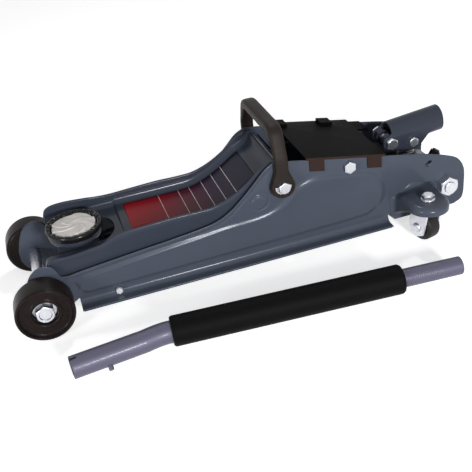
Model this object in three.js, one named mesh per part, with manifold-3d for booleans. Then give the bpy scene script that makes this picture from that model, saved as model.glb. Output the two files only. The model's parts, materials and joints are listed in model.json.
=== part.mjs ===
// Low-profile hydraulic trolley jack with a carry handle and a two-piece pump handle.
// Millimetres, +Z up. While the pieces are made, x = 0 is the front axle with +X towards the
// handle end, y = 0 is the middle of the frame and z = 0 is the floor.
import * as THREE from 'three';
import { mergeVertices } from 'three/addons/utils/BufferGeometryUtils.js';
import Module from 'manifold-3d';

const wasm = await Module();
wasm.setup();

// ---------------------------------------------------------------- driving dimensions

const RUNNING_GAP = 0.3;
const SIDES = [['left', -1], ['right', 1]];

// Lift arm
const PIVOT_X = 258;
const PIVOT_Z = 85;
const PIVOT_SHAFT_RADIUS = 8;
const PIVOT_TUBE_WALL = 5.4;
const ARM_HALF_WIDTH = 48.5;
const ARM_SHEET = 3.5;
const ARM_FRONT_X = 21;
const ARM_FRONT_STEP = 9;
const ARM_FLOOR_Z = 75;
const ARM_MOUTH_HALF_WIDTH = 34.5;
const ARM_MOUTH_REAR_X = 97;
const LEVER_REST_TILT = 30;
const LEVER_LENGTH = 50;
const LEVER_INNER_Y = 13;
const LEVER_THICKNESS = 7;

// Frame: two pressed side plates, one each side of the arm
const ARM_SIDE_GAP = 1.7;
const PLATE_THICKNESS = 3.2;
const PLATE_OUTER_Y = ARM_HALF_WIDTH + ARM_SIDE_GAP + PLATE_THICKNESS;
const PLATE_REAR_X = 521;
const PLATE_BOTTOM_REAR_Z = 13;
const SHOULDER_X = 284;
const SHOULDER_Z = 129;
const TOP_EDGE_FALL = 0.197;
const EMBOSS_HEIGHT = 2.4;
const FLANGE_Z = 12;
const FLANGE_REACH = 15;
const FLANGE_BEND = 8;
const FLANGE_FRONT_X = 38.7;
const FLANGE_REAR_X = 418;

// Front wheels and axle
const WHEEL_RADIUS = 32.5;
const WHEEL_WIDTH = 29;
const WHEEL_HUB_STEP = 2.4;
const WHEEL_PLATE_GAP = 0.6;
const WHEEL_OUTER_Y = PLATE_OUTER_Y + WHEEL_PLATE_GAP + WHEEL_HUB_STEP + WHEEL_WIDTH;
const AXLE_RADIUS = 6.8;
const HUB_RECESS_RADIUS = 14;
const HUB_RECESS_DEPTH = 15.5;
const WASHER_THICKNESS = 2;
const WHEEL_NUT_ACROSS = 19;
const WHEEL_NUT_HEIGHT = 11;

// Saddle and its bracket
const SADDLE_X = 52.3;
const SADDLE_PIN_Z = 48;
const SADDLE_PIN_RADIUS = 6;
const SADDLE_RADIUS = 32.5;
const SADDLE_TOP_Z = 87.6;
const SADDLE_RING_HEIGHT = 8.5;
const SADDLE_BASE_RADIUS = 31;
const SADDLE_SEAT_Z = 70;
const SADDLE_STEM_RADIUS = 8;
const BRACKET_HALF_WIDTH = 32;
const BRACKET_SHEET = 4;
const PAD_RADIUS = 27;
const PAD_DROP = 0.8;
const RING_TEETH = 12;

// Levelling rods
const ROD_OFFSET = 24;
const ROD_PIN_RADIUS = 5;
const ROD_INNER_Y = 36;
const ROD_THICKNESS = 5;
const ROD_HEIGHT = 10;

// Hydraulic unit
const RAM_Z = 38.4;
const RAM_ROD_RADIUS = 11;
const RAM_PIN_RADIUS = 6;
const RAM_SLOT_CLEARANCE = 0.8;
const RAM_HEAD_HALF_WIDTH = 12;
const RAM_HEAD_HALF_HEIGHT = 16;
const RAM_IN_BARREL = 75;
const BARREL_END_WALL = 24;
const RAM_HEAD_REACH = 14;
const RAM_HEAD_GAP = 7;
const SPRING_Y = 32;
const SPRING_ANCHOR_X = 352;
const GLAND_WIDTH = 12;
const RESERVOIR_SETBACK = 18;
const CYLINDER_RADIUS = 19;
const RESERVOIR_RADIUS = 26;
const FILLER_X = 392;
const BLOCK_FRONT_X = 424;
const BLOCK_REAR_X = 506;
const BLOCK_HALF_WIDTH = 28;
const BLOCK_TOP_Z = 62;
const BLOCK_BOTTOM_Z = 18;
const CROSS_BOLT_X = 495;
const CROSS_BOLT_Z = 45;
const CROSS_BOLT_RADIUS = 7;
const CROSS_NUT_ACROSS = 22;
const CROSS_NUT_HEIGHT = 10;

// Pump and handle socket
const SOCKET_PIVOT_X = 441;
const SOCKET_PIVOT_Z = 97;
const SOCKET_BOLT_RADIUS = 5;
const SOCKET_TILT = 5.5;
const SOCKET_TUBE_RADIUS = 16;
const SOCKET_WALL = 3.2;
const SOCKET_SHEET = 2.8;
const SOCKET_LIFT = 4.8;
const SOCKET_SETBACK = 2;
const SOCKET_REACH = 69.5;
const SOCKET_ARCH_REAR_GAP = 2;
const SOCKET_ARCH_RISE = 14;
const LUG_OUTER_Y = SOCKET_TUBE_RADIUS - SOCKET_SHEET - 0.7;
const PUMP_X = 470;
const PUMP_ROLLER_RADIUS = 5;
const PUMP_PLUNGER_RADIUS = 6;
const PUMP_BARREL_RADIUS = 12;
const BARREL_TOP_Z = 70;
const ROLLER_Z = 92.5;
const ROLLER_PIN_RADIUS = 3;
const PLUNGER_TOP_Z = ROLLER_Z - PUMP_ROLLER_RADIUS - RUNNING_GAP;
const VALVE_X = 495;
const VALVE_Y = -15;
const VALVE_Z = 58;
const VALVE_TILT = 32;
const VALVE_STEM_RADIUS = 3.5;
const VALVE_STEM_LENGTH = 4;
const VALVE_KNOB_RADIUS = 6.5;

// Tie bolts and top cover
const TIE_BOLT_X = 368;
const TIE_BOLT_Z = 102;
const TIE_BOLT_RADIUS = 5;
const FRONT_TIE_X = 83;
const FRONT_TIE_Z = 20.5;
const FRONT_TIE_RADIUS = 2.6;
const COVER_FRONT_X = 316;
const COVER_REAR_X = 414;
const COVER_THICKNESS = 3;
const TAB_WIDTH = 18;
const TAB_DROP = 14;
const TAB_THICKNESS = 1.5;
const CLIP_RISE = 3.6;
const CLIP_LENGTH = 16;

// Carry handle
const CARRY_X = 285;
const CARRY_Z = 101.5;
const CARRY_TOP_Z = 171;
const CARRY_TOP_INSET = 2.4;
const CARRY_EYE_RADIUS = 14;
const CARRY_LEG_WIDTH = 15.5;
const CARRY_BAR_THICKNESS = 8;
const CARRY_GRIP_HEIGHT = 13;
const CARRY_LEG_INNER_Y = PLATE_OUTER_Y + RUNNING_GAP + TAB_THICKNESS + 0.4;
const CARRY_BOLT_RADIUS = 5;
const CARRY_BOLT_RECESS = 10.4;

// Casters
const CASTER_X = 450.5;
const CASTER_OFFSET = 36.1;
const CASTER_Y = PLATE_OUTER_Y + CASTER_OFFSET;
const CASTER_WHEEL_RADIUS = 18.3;
const CASTER_WHEEL_WIDTH = 18;
const CASTER_TRAIL = 4.5;
const CASTER_TURN = -104;
const CASTER_FORK_SHEET = 2.4;
const CASTER_FORK_LOBE = 12.5;
const CASTER_PLATE_Z = 50.7;
const CASTER_BRACKET_RADIUS = 24.4;
const CASTER_SHEET = 3;
const CASTER_SKIRT = 10;
const CASTER_STEM_RADIUS = 5;
const CASTER_AXLE_RADIUS = 4;

// Pump handle lying beside the jack
const GRIP_RADIUS = 16.5;
const GRIP_LENGTH = 254;
const GRIP_ASIDE = 94.6;
const LOWER_TUBE_RADIUS = 12;
const UPPER_TUBE_RADIUS = 10.2;
const TUBE_OVERLAP = 64;
const UPPER_TUBE_SHOWING = 69;
const TUBE_WALL = 1.4;
const PEG_RADIUS = 3;

// ---------------------------------------------------------------- materials

const finish = (color, roughness, metalness) =>
  new THREE.MeshStandardMaterial({ color, roughness, metalness });
const framePaint = finish('#475066', 0.38, 0.35);
const zinc = finish('#c9ccd0', 0.3, 0.9);
const blackSteel = finish('#17161a', 0.4, 0.4);
const rollerBlack = finish('#1d1614', 0.35, 0.1);
const blackPlastic = finish('#1b1817', 0.5, 0);
const handlePlastic = finish('#3a3230', 0.6, 0);
const foam = finish('#161618', 0.85, 0);
const tubePaint = finish('#4d4a60', 0.5, 0.3);
const greyRubber = finish('#b3aca4', 0.7, 0);
const springSteel = finish('#8d9096', 0.35, 0.8);

// ---------------------------------------------------------------- solids

const jack = new THREE.Group();
const rad = THREE.MathUtils.degToRad;

// A closed three.js geometry as a solid that can be joined and cut
function solid(geometry) {
  const bare = geometry.index ? geometry.toNonIndexed() : geometry.clone();
  bare.deleteAttribute('normal');
  bare.deleteAttribute('uv');
  const merged = mergeVertices(bare, 1e-4);
  return new wasm.Manifold(new wasm.Mesh({
    numProp: 3,
    vertProperties: new Float32Array(merged.attributes.position.array),
    triVerts: new Uint32Array(merged.index.array),
  }));
}

const join = (first, ...rest) => rest.reduce((sum, piece) => sum.add(piece), first);
const cut = (first, ...rest) => rest.reduce((sum, piece) => sum.subtract(piece), first);

function toGeometry(body) {
  const { vertProperties, triVerts } = body.simplify(0.02).getMesh();
  const geometry = new THREE.BufferGeometry();
  geometry.setAttribute('position', new THREE.BufferAttribute(vertProperties, 3));
  geometry.setIndex(new THREE.BufferAttribute(triVerts, 1));
  return geometry;
}

function add(name, body, material, parent = jack) {
  const piece = new THREE.Mesh(toGeometry(body), material);
  piece.name = name;
  parent.add(piece);
  return piece;
}

// Cylinders along each axis between two ends
function cylinderY(x, z, radius, y0, y1, sides = 14) {
  const geometry = new THREE.CylinderGeometry(radius, radius, Math.abs(y1 - y0), sides);
  return solid(geometry.translate(x, (y0 + y1) / 2, z));
}

function cylinderX(y, z, radius, x0, x1, sides = 20) {
  const geometry = new THREE.CylinderGeometry(radius, radius, Math.abs(x1 - x0), sides);
  return solid(geometry.rotateZ(Math.PI / 2).translate((x0 + x1) / 2, y, z));
}

function cylinderZ(x, y, radius, z0, z1, sides = 14) {
  const geometry = new THREE.CylinderGeometry(radius, radius, Math.abs(z1 - z0), sides);
  return solid(geometry.rotateX(Math.PI / 2).translate(x, y, (z0 + z1) / 2));
}

// A hexagon head or nut whose flats are `across` apart
function hexY(x, z, across, y0, y1) {
  return cylinderY(x, z, across / Math.sqrt(3), y0, y1, 6);
}

function box(x0, x1, y0, y1, z0, z1) {
  const geometry = new THREE.BoxGeometry(x1 - x0, y1 - y0, z1 - z0);
  return solid(geometry.translate((x0 + x1) / 2, (y0 + y1) / 2, (z0 + z1) / 2));
}

// A side-view outline (x, z) given a thickness from y0 to y1
function sidePlate(outline, y0, y1, options = {}) {
  const low = Math.min(y0, y1);
  const depth = Math.abs(y1 - y0);
  const bevel = { bevelEnabled: false, curveSegments: 2, ...options };
  const geometry = new THREE.ExtrudeGeometry(outline, { depth, ...bevel });
  return solid(geometry.rotateX(Math.PI / 2).translate(0, low + depth, 0));
}

// A plan-view outline (x, y) given a height from z0 to z1
function floorPlate(outline, z0, z1, options = {}) {
  const flat = { depth: z1 - z0, bevelEnabled: false, curveSegments: 8, ...options };
  return solid(new THREE.ExtrudeGeometry(outline, flat).translate(0, 0, z0));
}

// A cross-section outline (y, z) run along x
function alongX(outline, x0, x1) {
  const geometry = new THREE.ExtrudeGeometry(outline, {
    depth: x1 - x0, bevelEnabled: false, curveSegments: 4,
  });
  geometry.rotateX(Math.PI / 2).rotateZ(Math.PI / 2);
  return solid(geometry.translate(x0, 0, 0));
}

const polygon = (points) => new THREE.Shape(points.map(([a, b]) => new THREE.Vector2(a, b)));
const points2 = (points) => points.map(([a, b]) => new THREE.Vector2(a, b));

// A profile of (radius, height) points turned about Y; it closes on the axis or on itself
function turned(profile, sides) {
  const points = points2(profile);
  if (THREE.ShapeUtils.isClockWise(points)) points.reverse();
  if (points[0].x > 0 || points[points.length - 1].x > 0) points.push(points[0]);
  return new THREE.LatheGeometry(points, sides);
}

const turnedY = (profile, x, z, sides = 36) => solid(turned(profile, sides).translate(x, 0, z));
const turnedZ = (profile, x, y, sides = 48) =>
  solid(turned(profile, sides).rotateX(Math.PI / 2).translate(x, y, 0));

// A cross-section swept along a path
function sweep(section, path, steps) {
  return solid(new THREE.ExtrudeGeometry(section, {
    extrudePath: path, steps, curveSegments: 2, bevelEnabled: false,
  }));
}

function roundedRectangle(width, height, corner) {
  const [x, y] = [width / 2, height / 2];
  const outline = new THREE.Shape();
  outline.absarc(x - corner, y - corner, corner, 0, Math.PI / 2);
  outline.absarc(corner - x, y - corner, corner, Math.PI / 2, Math.PI);
  outline.absarc(corner - x, corner - y, corner, Math.PI, Math.PI * 1.5);
  outline.absarc(x - corner, corner - y, corner, Math.PI * 1.5, Math.PI * 2);
  return outline;
}

function circle(radius, sides) {
  return polygon(Array.from({ length: sides }, (_, i) => {
    const turn = (i / sides) * Math.PI * 2;
    return [radius * Math.cos(turn), radius * Math.sin(turn)];
  }));
}

// ---------------------------------------------------------------- frame

const PLATE_INNER_Y = PLATE_OUTER_Y - PLATE_THICKNESS;
const FLANGE_OUTER_Y = PLATE_OUTER_Y + FLANGE_REACH;
const topEdgeZ = (x) => SHOULDER_Z - (x - SHOULDER_X) * TOP_EDGE_FALL;
// Half length of a cutter that passes right through the jack
const THROUGH = FLANGE_OUTER_Y;

function plateOutline() {
  const foot = FLANGE_Z + FLANGE_BEND + 2;
  const outline = new THREE.Shape();
  outline.moveTo(FLANGE_FRONT_X, foot);
  outline.splineThru(points2([[28, 15.5], [14, 10], [0, 8.5], [-11, 11.5], [-17.5, 23],
    [-18, 36], [-14, 51], [-8, 64], [0, 71.5], [8, 73.5], [16, 71.5], [21, 66], [23.5, 58.5],
    [29, 54.8]]));
  outline.splineThru(points2([[54, 57.5], [103, 62.3], [150, 66.5], [186, 70.5], [207, 75],
    [224, 84], [240, 97.5], [254, 111], [265, 122], [274, 127.5], [SHOULDER_X, SHOULDER_Z]]));
  outline.lineTo(440, topEdgeZ(440));
  outline.splineThru(points2([[470, 91.5], [497, 82.5], [511, 75], [519, 62],
    [PLATE_REAR_X, 45]]));
  outline.lineTo(PLATE_REAR_X, 30);
  outline.splineThru(points2([[518, 18.5], [508, PLATE_BOTTOM_REAR_Z]]));
  outline.lineTo(FLANGE_REAR_X + 9, PLATE_BOTTOM_REAR_Z);
  outline.lineTo(FLANGE_REAR_X, foot);
  return outline;
}

// Raised panel pressed outwards from the plate
function panelOutline(inset) {
  const outline = new THREE.Shape();
  outline.moveTo(37 + inset, 45 - inset);
  outline.splineThru(points2([[56, 50.5 - inset], [99, 55.3 - inset], [137, 59 - inset],
    [184, 63 - inset], [215, 66.2 - inset], [245, 67 - inset], [266, 69.5 - inset],
    [283 + inset / 2, 76.5 - inset], [297 + inset / 2, 89 - inset], [312, 97.5 - inset],
    [332, 100.5 - inset]]));
  outline.lineTo(392, 90.5 - inset);
  outline.splineThru(points2([[405 - inset / 2, 83 - inset], [413 - inset, 70],
    [414 - inset, 55], [409 - inset, 42 + inset / 2], [396, 33 + inset], [370, 28.5 + inset]]));
  outline.lineTo(60, 25 + inset);
  outline.splineThru(points2([[46, 26.5 + inset], [39 + inset, 33]]));
  return outline;
}

// Foot of the plate, bent outwards into the bottom flange
function flangeSection(side) {
  const wallTop = FLANGE_Z + FLANGE_BEND + 3;
  const section = new THREE.Shape();
  section.moveTo(side * PLATE_INNER_Y, wallTop);
  section.lineTo(side * PLATE_INNER_Y, FLANGE_Z + FLANGE_BEND);
  section.quadraticCurveTo(side * PLATE_INNER_Y, FLANGE_Z,
    side * (PLATE_INNER_Y + FLANGE_BEND), FLANGE_Z);
  section.lineTo(side * FLANGE_OUTER_Y, FLANGE_Z);
  section.lineTo(side * FLANGE_OUTER_Y, FLANGE_Z + PLATE_THICKNESS);
  section.lineTo(side * (PLATE_INNER_Y + FLANGE_BEND), FLANGE_Z + PLATE_THICKNESS);
  section.quadraticCurveTo(side * PLATE_OUTER_Y, FLANGE_Z + PLATE_THICKNESS,
    side * PLATE_OUTER_Y, FLANGE_Z + FLANGE_BEND);
  section.lineTo(side * PLATE_OUTER_Y, wallTop);
  return section;
}

function slotOutline() {
  const slot = new THREE.Shape();
  slot.absellipse(471, 79, 5, 2.6, 0, Math.PI * 2, false, rad(25));
  return slot;
}

function sidePlateSolid(side) {
  const outer = side * PLATE_OUTER_Y;
  const inner = side * PLATE_INNER_Y;
  const through = (x, z, radius) =>
    cylinderY(x, z, radius + RUNNING_GAP, inner - side * 8, outer + side * 8, 14);
  const bevel = { bevelEnabled: true, bevelThickness: EMBOSS_HEIGHT - 0.2, bevelSize: 3,
    bevelOffset: -3, bevelSegments: 1 };
  const raised = sidePlate(panelOutline(0), inner + side, outer + side * 0.2, bevel);
  const pressed = sidePlate(panelOutline(PLATE_THICKNESS), inner - side * 6,
    inner + side * EMBOSS_HEIGHT);
  const boss = cylinderY(PIVOT_X, PIVOT_Z, 9, outer - side, outer + side * 1.6, 16);
  const shaftSeat = cylinderY(PIVOT_X, PIVOT_Z, PIVOT_SHAFT_RADIUS + RUNNING_GAP,
    inner - side, outer - side * 0.6, 14);
  const rodStud = cylinderY(PIVOT_X, PIVOT_Z - ROD_OFFSET, ROD_PIN_RADIUS,
    side * (ROD_INNER_Y - 1.5), side * (PLATE_INNER_Y + 1), 14);
  const springStud = cylinderY(SPRING_ANCHOR_X, RAM_Z, 3, side * (SPRING_Y - 4),
    side * (PLATE_INNER_Y + EMBOSS_HEIGHT + 1), 16);
  const body = join(sidePlate(plateOutline(), inner, outer), raised,
    alongX(flangeSection(side), FLANGE_FRONT_X, FLANGE_REAR_X));
  const bored = cut(body, pressed,
    through(0, WHEEL_RADIUS, AXLE_RADIUS),
    through(TIE_BOLT_X, TIE_BOLT_Z, TIE_BOLT_RADIUS),
    through(FRONT_TIE_X, FRONT_TIE_Z, FRONT_TIE_RADIUS),
    through(CROSS_BOLT_X, CROSS_BOLT_Z, CROSS_BOLT_RADIUS),
    through(CARRY_X, CARRY_Z, CARRY_BOLT_RADIUS),
    sidePlate(slotOutline(), inner - side * 2, outer + side * 2));
  return cut(join(bored, boss, rodStud, springStud), shaftSeat);
}

// ---------------------------------------------------------------- front wheels

function frontAxle() {
  const end = WHEEL_OUTER_Y - 3;
  return cylinderY(0, WHEEL_RADIUS, AXLE_RADIUS, -end, end, 16);
}

// Roller with a dished outer face, a raised rim and a deep hub recess
function frontWheel(side) {
  const outer = WHEEL_OUTER_Y;
  const inner = WHEEL_OUTER_Y - WHEEL_WIDTH;
  const bore = AXLE_RADIUS + RUNNING_GAP;
  const floor = outer - HUB_RECESS_DEPTH;
  const step = WHEEL_HUB_STEP;
  const profile = [[bore, inner - step], [bore + 7, inner - step], [bore + 8, inner],
    [WHEEL_RADIUS - 2.5, inner], [WHEEL_RADIUS - 0.6, inner + 0.8], [WHEEL_RADIUS, inner + 2.6],
    [WHEEL_RADIUS, outer - 2.2], [WHEEL_RADIUS - 0.8, outer - 0.6], [WHEEL_RADIUS - 2, outer],
    [WHEEL_RADIUS - 3.4, outer - 0.6], [WHEEL_RADIUS - 4.6, outer - 4.2],
    [WHEEL_RADIUS - 6.4, outer - 5], [HUB_RECESS_RADIUS + 4.5, outer - 4.6],
    [HUB_RECESS_RADIUS + 1.6, outer - 3.6], [HUB_RECESS_RADIUS, outer - 4.6],
    [HUB_RECESS_RADIUS, floor], [bore, floor]];
  return turnedY(profile.map(([r, y]) => [r, side * y]), 0, WHEEL_RADIUS, 24);
}

const WASHER_Y = WHEEL_OUTER_Y - HUB_RECESS_DEPTH + RUNNING_GAP;
const WHEEL_NUT_Y = WASHER_Y + WASHER_THICKNESS + RUNNING_GAP;

function wheelWasher(side) {
  const disc = cylinderY(0, WHEEL_RADIUS, HUB_RECESS_RADIUS - 0.6, side * WASHER_Y,
    side * (WASHER_Y + WASHER_THICKNESS), 24);
  return cut(disc, cylinderY(0, WHEEL_RADIUS, AXLE_RADIUS + RUNNING_GAP, 0,
    side * WHEEL_OUTER_Y, 16));
}

// Hexagon nut with chamfered corners; a bore radius of 0 leaves it solid, as a bolt head
function hexNut(x, z, across, y0, y1, boreRadius = 0) {
  const side = Math.sign(y0);
  const corner = across / Math.sqrt(3) + 0.1;
  const [low, high] = [Math.abs(y0), Math.abs(y1)];
  const chamferFrom = high - across * 0.075;
  const envelope = turnedY([[0, side * low], [corner, side * low], [corner, side * chamferFrom],
    [across / 2 - 0.3, side * high], [0, side * high]], x, z, 14);
  const nut = hexY(x, z, across, y0, y1).intersect(envelope);
  return boreRadius ? cut(nut, cylinderY(x, z, boreRadius, 0, side * (high + 1), 14)) : nut;
}

function wheelNut(side) {
  return hexNut(0, WHEEL_RADIUS, WHEEL_NUT_ACROSS, side * WHEEL_NUT_Y,
    side * (WHEEL_NUT_Y + WHEEL_NUT_HEIGHT), AXLE_RADIUS + RUNNING_GAP);
}

// ---------------------------------------------------------------- lift arm

const LEVER_OUTER_Y = LEVER_INNER_Y + LEVER_THICKNESS;
const HUB_TUBE_RADIUS = PIVOT_SHAFT_RADIUS + PIVOT_TUBE_WALL;

function pivotShaft() {
  const end = PLATE_OUTER_Y - 0.9;
  return cylinderY(PIVOT_X, PIVOT_Z, PIVOT_SHAFT_RADIUS, -end, end, 16);
}

const FLOOR_CURVE = [[ARM_MOUTH_REAR_X - 20, ARM_FLOOR_Z], [130, ARM_FLOOR_Z],
  [170, ARM_FLOOR_Z], [198, ARM_FLOOR_Z + 1], [216, 81.5],
  [232, 89.5], [246, 98.5], [258, 106.5], [268, 112], [280, 116], [292, 117.5]];

function armFloor() {
  const top = points2(FLOOR_CURVE);
  const curve = new THREE.SplineCurve(top).getPoints(24);
  const under = curve.map((point, i) => {
    const next = curve[Math.min(i + 1, curve.length - 1)];
    const before = curve[Math.max(i - 1, 0)];
    const run = new THREE.Vector2().subVectors(next, before).normalize();
    return new THREE.Vector2(point.x + run.y * ARM_SHEET, point.y - run.x * ARM_SHEET);
  }).reverse();
  const strip = new THREE.Shape([...curve, ...under]);
  const middle = sidePlate(strip, -ARM_HALF_WIDTH + 1, ARM_HALF_WIDTH - 1);
  const ledges = box(ARM_FRONT_X + 6, ARM_MOUTH_REAR_X - 10, -ARM_HALF_WIDTH + 1,
    ARM_HALF_WIDTH - 1, ARM_FLOOR_Z - ARM_SHEET, ARM_FLOOR_Z);
  const mouth = floorPlate(mouthOutline(), ARM_FLOOR_Z - 15, ARM_FLOOR_Z + 15);
  return cut(join(middle, ledges), mouth);
}

// Opening that the saddle sits in
function mouthOutline() {
  const outline = new THREE.Shape();
  outline.moveTo(0, ARM_MOUTH_HALF_WIDTH);
  outline.lineTo(0, -ARM_MOUTH_HALF_WIDTH);
  outline.absarc(ARM_MOUTH_REAR_X - ARM_MOUTH_HALF_WIDTH, 0, ARM_MOUTH_HALF_WIDTH,
    -Math.PI / 2, Math.PI / 2, false);
  return outline;
}

// Side of the arm: its front end is lower on the left side
function armCheekOutline(side) {
  const frontX = ARM_FRONT_X + (side < 0 ? ARM_FRONT_STEP : 0);
  const front = side < 0
    ? [[31, 72], [35, 75], [44, 76.5], [60, 77.5], [75, 79], [84, 82.5], [92, 86], [104, 87.5]]
    : [[ARM_FRONT_X, 80], [24, 87], [32, 91], [48, 92], [70, 90.5], [88, 88.5], [104, 88]];
  const outline = new THREE.Shape();
  outline.moveTo(frontX, 66);
  outline.splineThru(points2(front));
  outline.splineThru(points2([[130, 89], [160, 90], [186, 89.5], [206, 90.5], [226, 97],
    [244, 107], [258, 117.5], [268, 124.5], [277, 127.5]]));
  outline.splineThru(points2([[286, 126], [294, 119.5], [295, 112]]));
  outline.lineTo(276, 92);
  outline.absarc(PIVOT_X, PIVOT_Z, 17, rad(10), rad(-100), true);
  outline.lineTo(200, 62);
  outline.lineTo(100, 44);
  outline.lineTo(64, 36.5);
  outline.absarc(SADDLE_X, SADDLE_PIN_Z, 13, rad(-45), rad(-180), true);
  outline.lineTo(frontX, 60);
  return outline;
}

function liftArm() {
  const inner = ARM_HALF_WIDTH - ARM_SHEET;
  const cheek = (side) => sidePlate(armCheekOutline(side), side * inner, side * ARM_HALF_WIDTH);
  const seamX = ARM_MOUTH_REAR_X + 7;
  const seam = box(seamX, seamX + 2, -inner - 1, inner + 1, ARM_FLOOR_Z - 1, ARM_FLOOR_Z + 1);
  return cut(join(armFloor(), cheek(-1), cheek(1), seam),
    cylinderY(PIVOT_X, PIVOT_Z, PIVOT_SHAFT_RADIUS + RUNNING_GAP, -THROUGH, THROUGH, 16),
    cylinderY(SADDLE_X, SADDLE_PIN_Z, SADDLE_PIN_RADIUS + RUNNING_GAP, -THROUGH, THROUGH, 14));
}

// Lever below the pivot that the ram pushes
const RAM_PIN_X = PIVOT_X + LEVER_LENGTH * Math.sin(rad(LEVER_REST_TILT));
const RAM_PIN_Z = PIVOT_Z - LEVER_LENGTH * Math.cos(rad(LEVER_REST_TILT));

function armLever() {
  const outline = new THREE.Shape();
  const along = rad(LEVER_REST_TILT - 90);
  const pinEye = RAM_PIN_RADIUS + 5.5;
  outline.absarc(PIVOT_X, PIVOT_Z, HUB_TUBE_RADIUS, along + rad(86), along - rad(86), false);
  outline.absarc(RAM_PIN_X, RAM_PIN_Z, pinEye, along - rad(86), along + rad(86), false);
  const cheek = sidePlate(outline, LEVER_INNER_Y, LEVER_OUTER_Y, { curveSegments: 8 });
  const tube = cylinderY(PIVOT_X, PIVOT_Z, HUB_TUBE_RADIUS, -ROD_INNER_Y + 3, ROD_INNER_Y - 3, 20);
  return cut(join(cheek, cheek.mirror([0, 1, 0]), tube),
    cylinderY(PIVOT_X, PIVOT_Z, PIVOT_SHAFT_RADIUS + RUNNING_GAP, -THROUGH, THROUGH, 16),
    cylinderY(RAM_PIN_X, RAM_PIN_Z, RAM_PIN_RADIUS + RUNNING_GAP, -THROUGH, THROUGH, 14));
}

function ramPin() {
  const end = SPRING_Y + 4;
  return cylinderY(RAM_PIN_X, RAM_PIN_Z, RAM_PIN_RADIUS, -end, end, 14);
}

// ---------------------------------------------------------------- saddle

function saddlePin() {
  const end = ARM_HALF_WIDTH + 0.4;
  return cylinderY(SADDLE_X, SADDLE_PIN_Z, SADDLE_PIN_RADIUS, -end, end, 14);
}

function saddleBracket() {
  const lowZ = SADDLE_PIN_Z - ROD_OFFSET;
  const outline = new THREE.Shape();
  outline.moveTo(SADDLE_X - 24, SADDLE_SEAT_Z);
  outline.lineTo(SADDLE_X + 24, SADDLE_SEAT_Z);
  outline.lineTo(SADDLE_X + 22, SADDLE_SEAT_Z - 8);
  outline.lineTo(SADDLE_X + 11, 44);
  outline.absarc(SADDLE_X, lowZ, 10, 0, -Math.PI, true);
  outline.lineTo(SADDLE_X - 11, 44);
  outline.lineTo(SADDLE_X - 22, SADDLE_SEAT_Z - 8);
  const outer = BRACKET_HALF_WIDTH;
  const cheek = sidePlate(outline, outer - BRACKET_SHEET, outer);
  const seat = box(SADDLE_X - 23, SADDLE_X + 23, -outer + 1, outer - 1,
    SADDLE_SEAT_Z - BRACKET_SHEET, SADDLE_SEAT_Z);
  const stud = cylinderY(SADDLE_X, lowZ, ROD_PIN_RADIUS, outer - 1,
    ROD_INNER_Y + ROD_THICKNESS + 1.5, 14);
  const half = join(cheek, stud);
  return cut(join(half, half.mirror([0, 1, 0]), seat),
    cylinderY(SADDLE_X, SADDLE_PIN_Z, SADDLE_PIN_RADIUS + RUNNING_GAP, -THROUGH, THROUGH, 14),
    cylinderZ(SADDLE_X, 0, SADDLE_STEM_RADIUS + RUNNING_GAP, 50, 80, 16));
}

const SADDLE_BOTTOM_Z = SADDLE_SEAT_Z + RUNNING_GAP;
const RING_BOTTOM_Z = SADDLE_TOP_Z - SADDLE_RING_HEIGHT;

// Round cup with a stem that turns in the bracket
function saddleCup() {
  const stem = SADDLE_STEM_RADIUS;
  const rim = SADDLE_BASE_RADIUS;
  const bottom = SADDLE_BOTTOM_Z;
  return turnedZ([[0, 58], [stem - 1, 58], [stem, 59], [stem, bottom], [rim - 7, bottom],
    [rim - 1, bottom + 3], [rim, bottom + 6], [rim, RING_BOTTOM_Z - RUNNING_GAP],
    [rim - 5.5, RING_BOTTOM_Z - RUNNING_GAP], [rim - 5.5, bottom + 6], [0, bottom + 6]],
  SADDLE_X, 0, 28);
}

// Black ring with a serrated inner edge
function saddleRing() {
  const bottom = RING_BOTTOM_Z;
  const top = SADDLE_TOP_Z;
  const band = turnedZ([[PAD_RADIUS - 0.8, bottom], [SADDLE_RADIUS - 1, bottom],
    [SADDLE_RADIUS, bottom + 1.5], [SADDLE_RADIUS, top - 2], [SADDLE_RADIUS - 1.4, top],
    [PAD_RADIUS + 2, top], [PAD_RADIUS - 0.8, top - 2.6]], SADDLE_X, 0, 36);
  const teeth = Array.from({ length: RING_TEETH }, (_, i) => {
    const turn = (i / RING_TEETH) * Math.PI * 2;
    const notch = new THREE.BoxGeometry(9, 2.6, 3).rotateY(rad(8))
      .translate(PAD_RADIUS + 0.5, 0, top).rotateZ(turn).translate(SADDLE_X, 0, 0);
    return solid(notch);
  });
  return cut(band, ...teeth);
}

// Soft pad with an uneven, lobed outline
function saddlePad() {
  const outline = new THREE.Shape();
  const lobes = Array.from({ length: 40 }, (_, i) => {
    const turn = (i / 40) * Math.PI * 2;
    const wave = 1.1 * Math.sin(turn * 3 + 0.6) + 0.7 * Math.sin(turn * 7 + 1.9);
    const radius = PAD_RADIUS - 3.4 + wave;
    return [SADDLE_X + radius * Math.cos(turn), radius * Math.sin(turn)];
  });
  outline.setFromPoints(points2(lobes));
  const soft = { bevelEnabled: true, bevelThickness: 1.2, bevelSize: 1.4, bevelOffset: -1.4,
    bevelSegments: 1 };
  const low = SADDLE_BOTTOM_Z + 6 + RUNNING_GAP + 1.2;
  return floorPlate(outline, low, SADDLE_TOP_Z - PAD_DROP - 1.2, soft);
}

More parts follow.
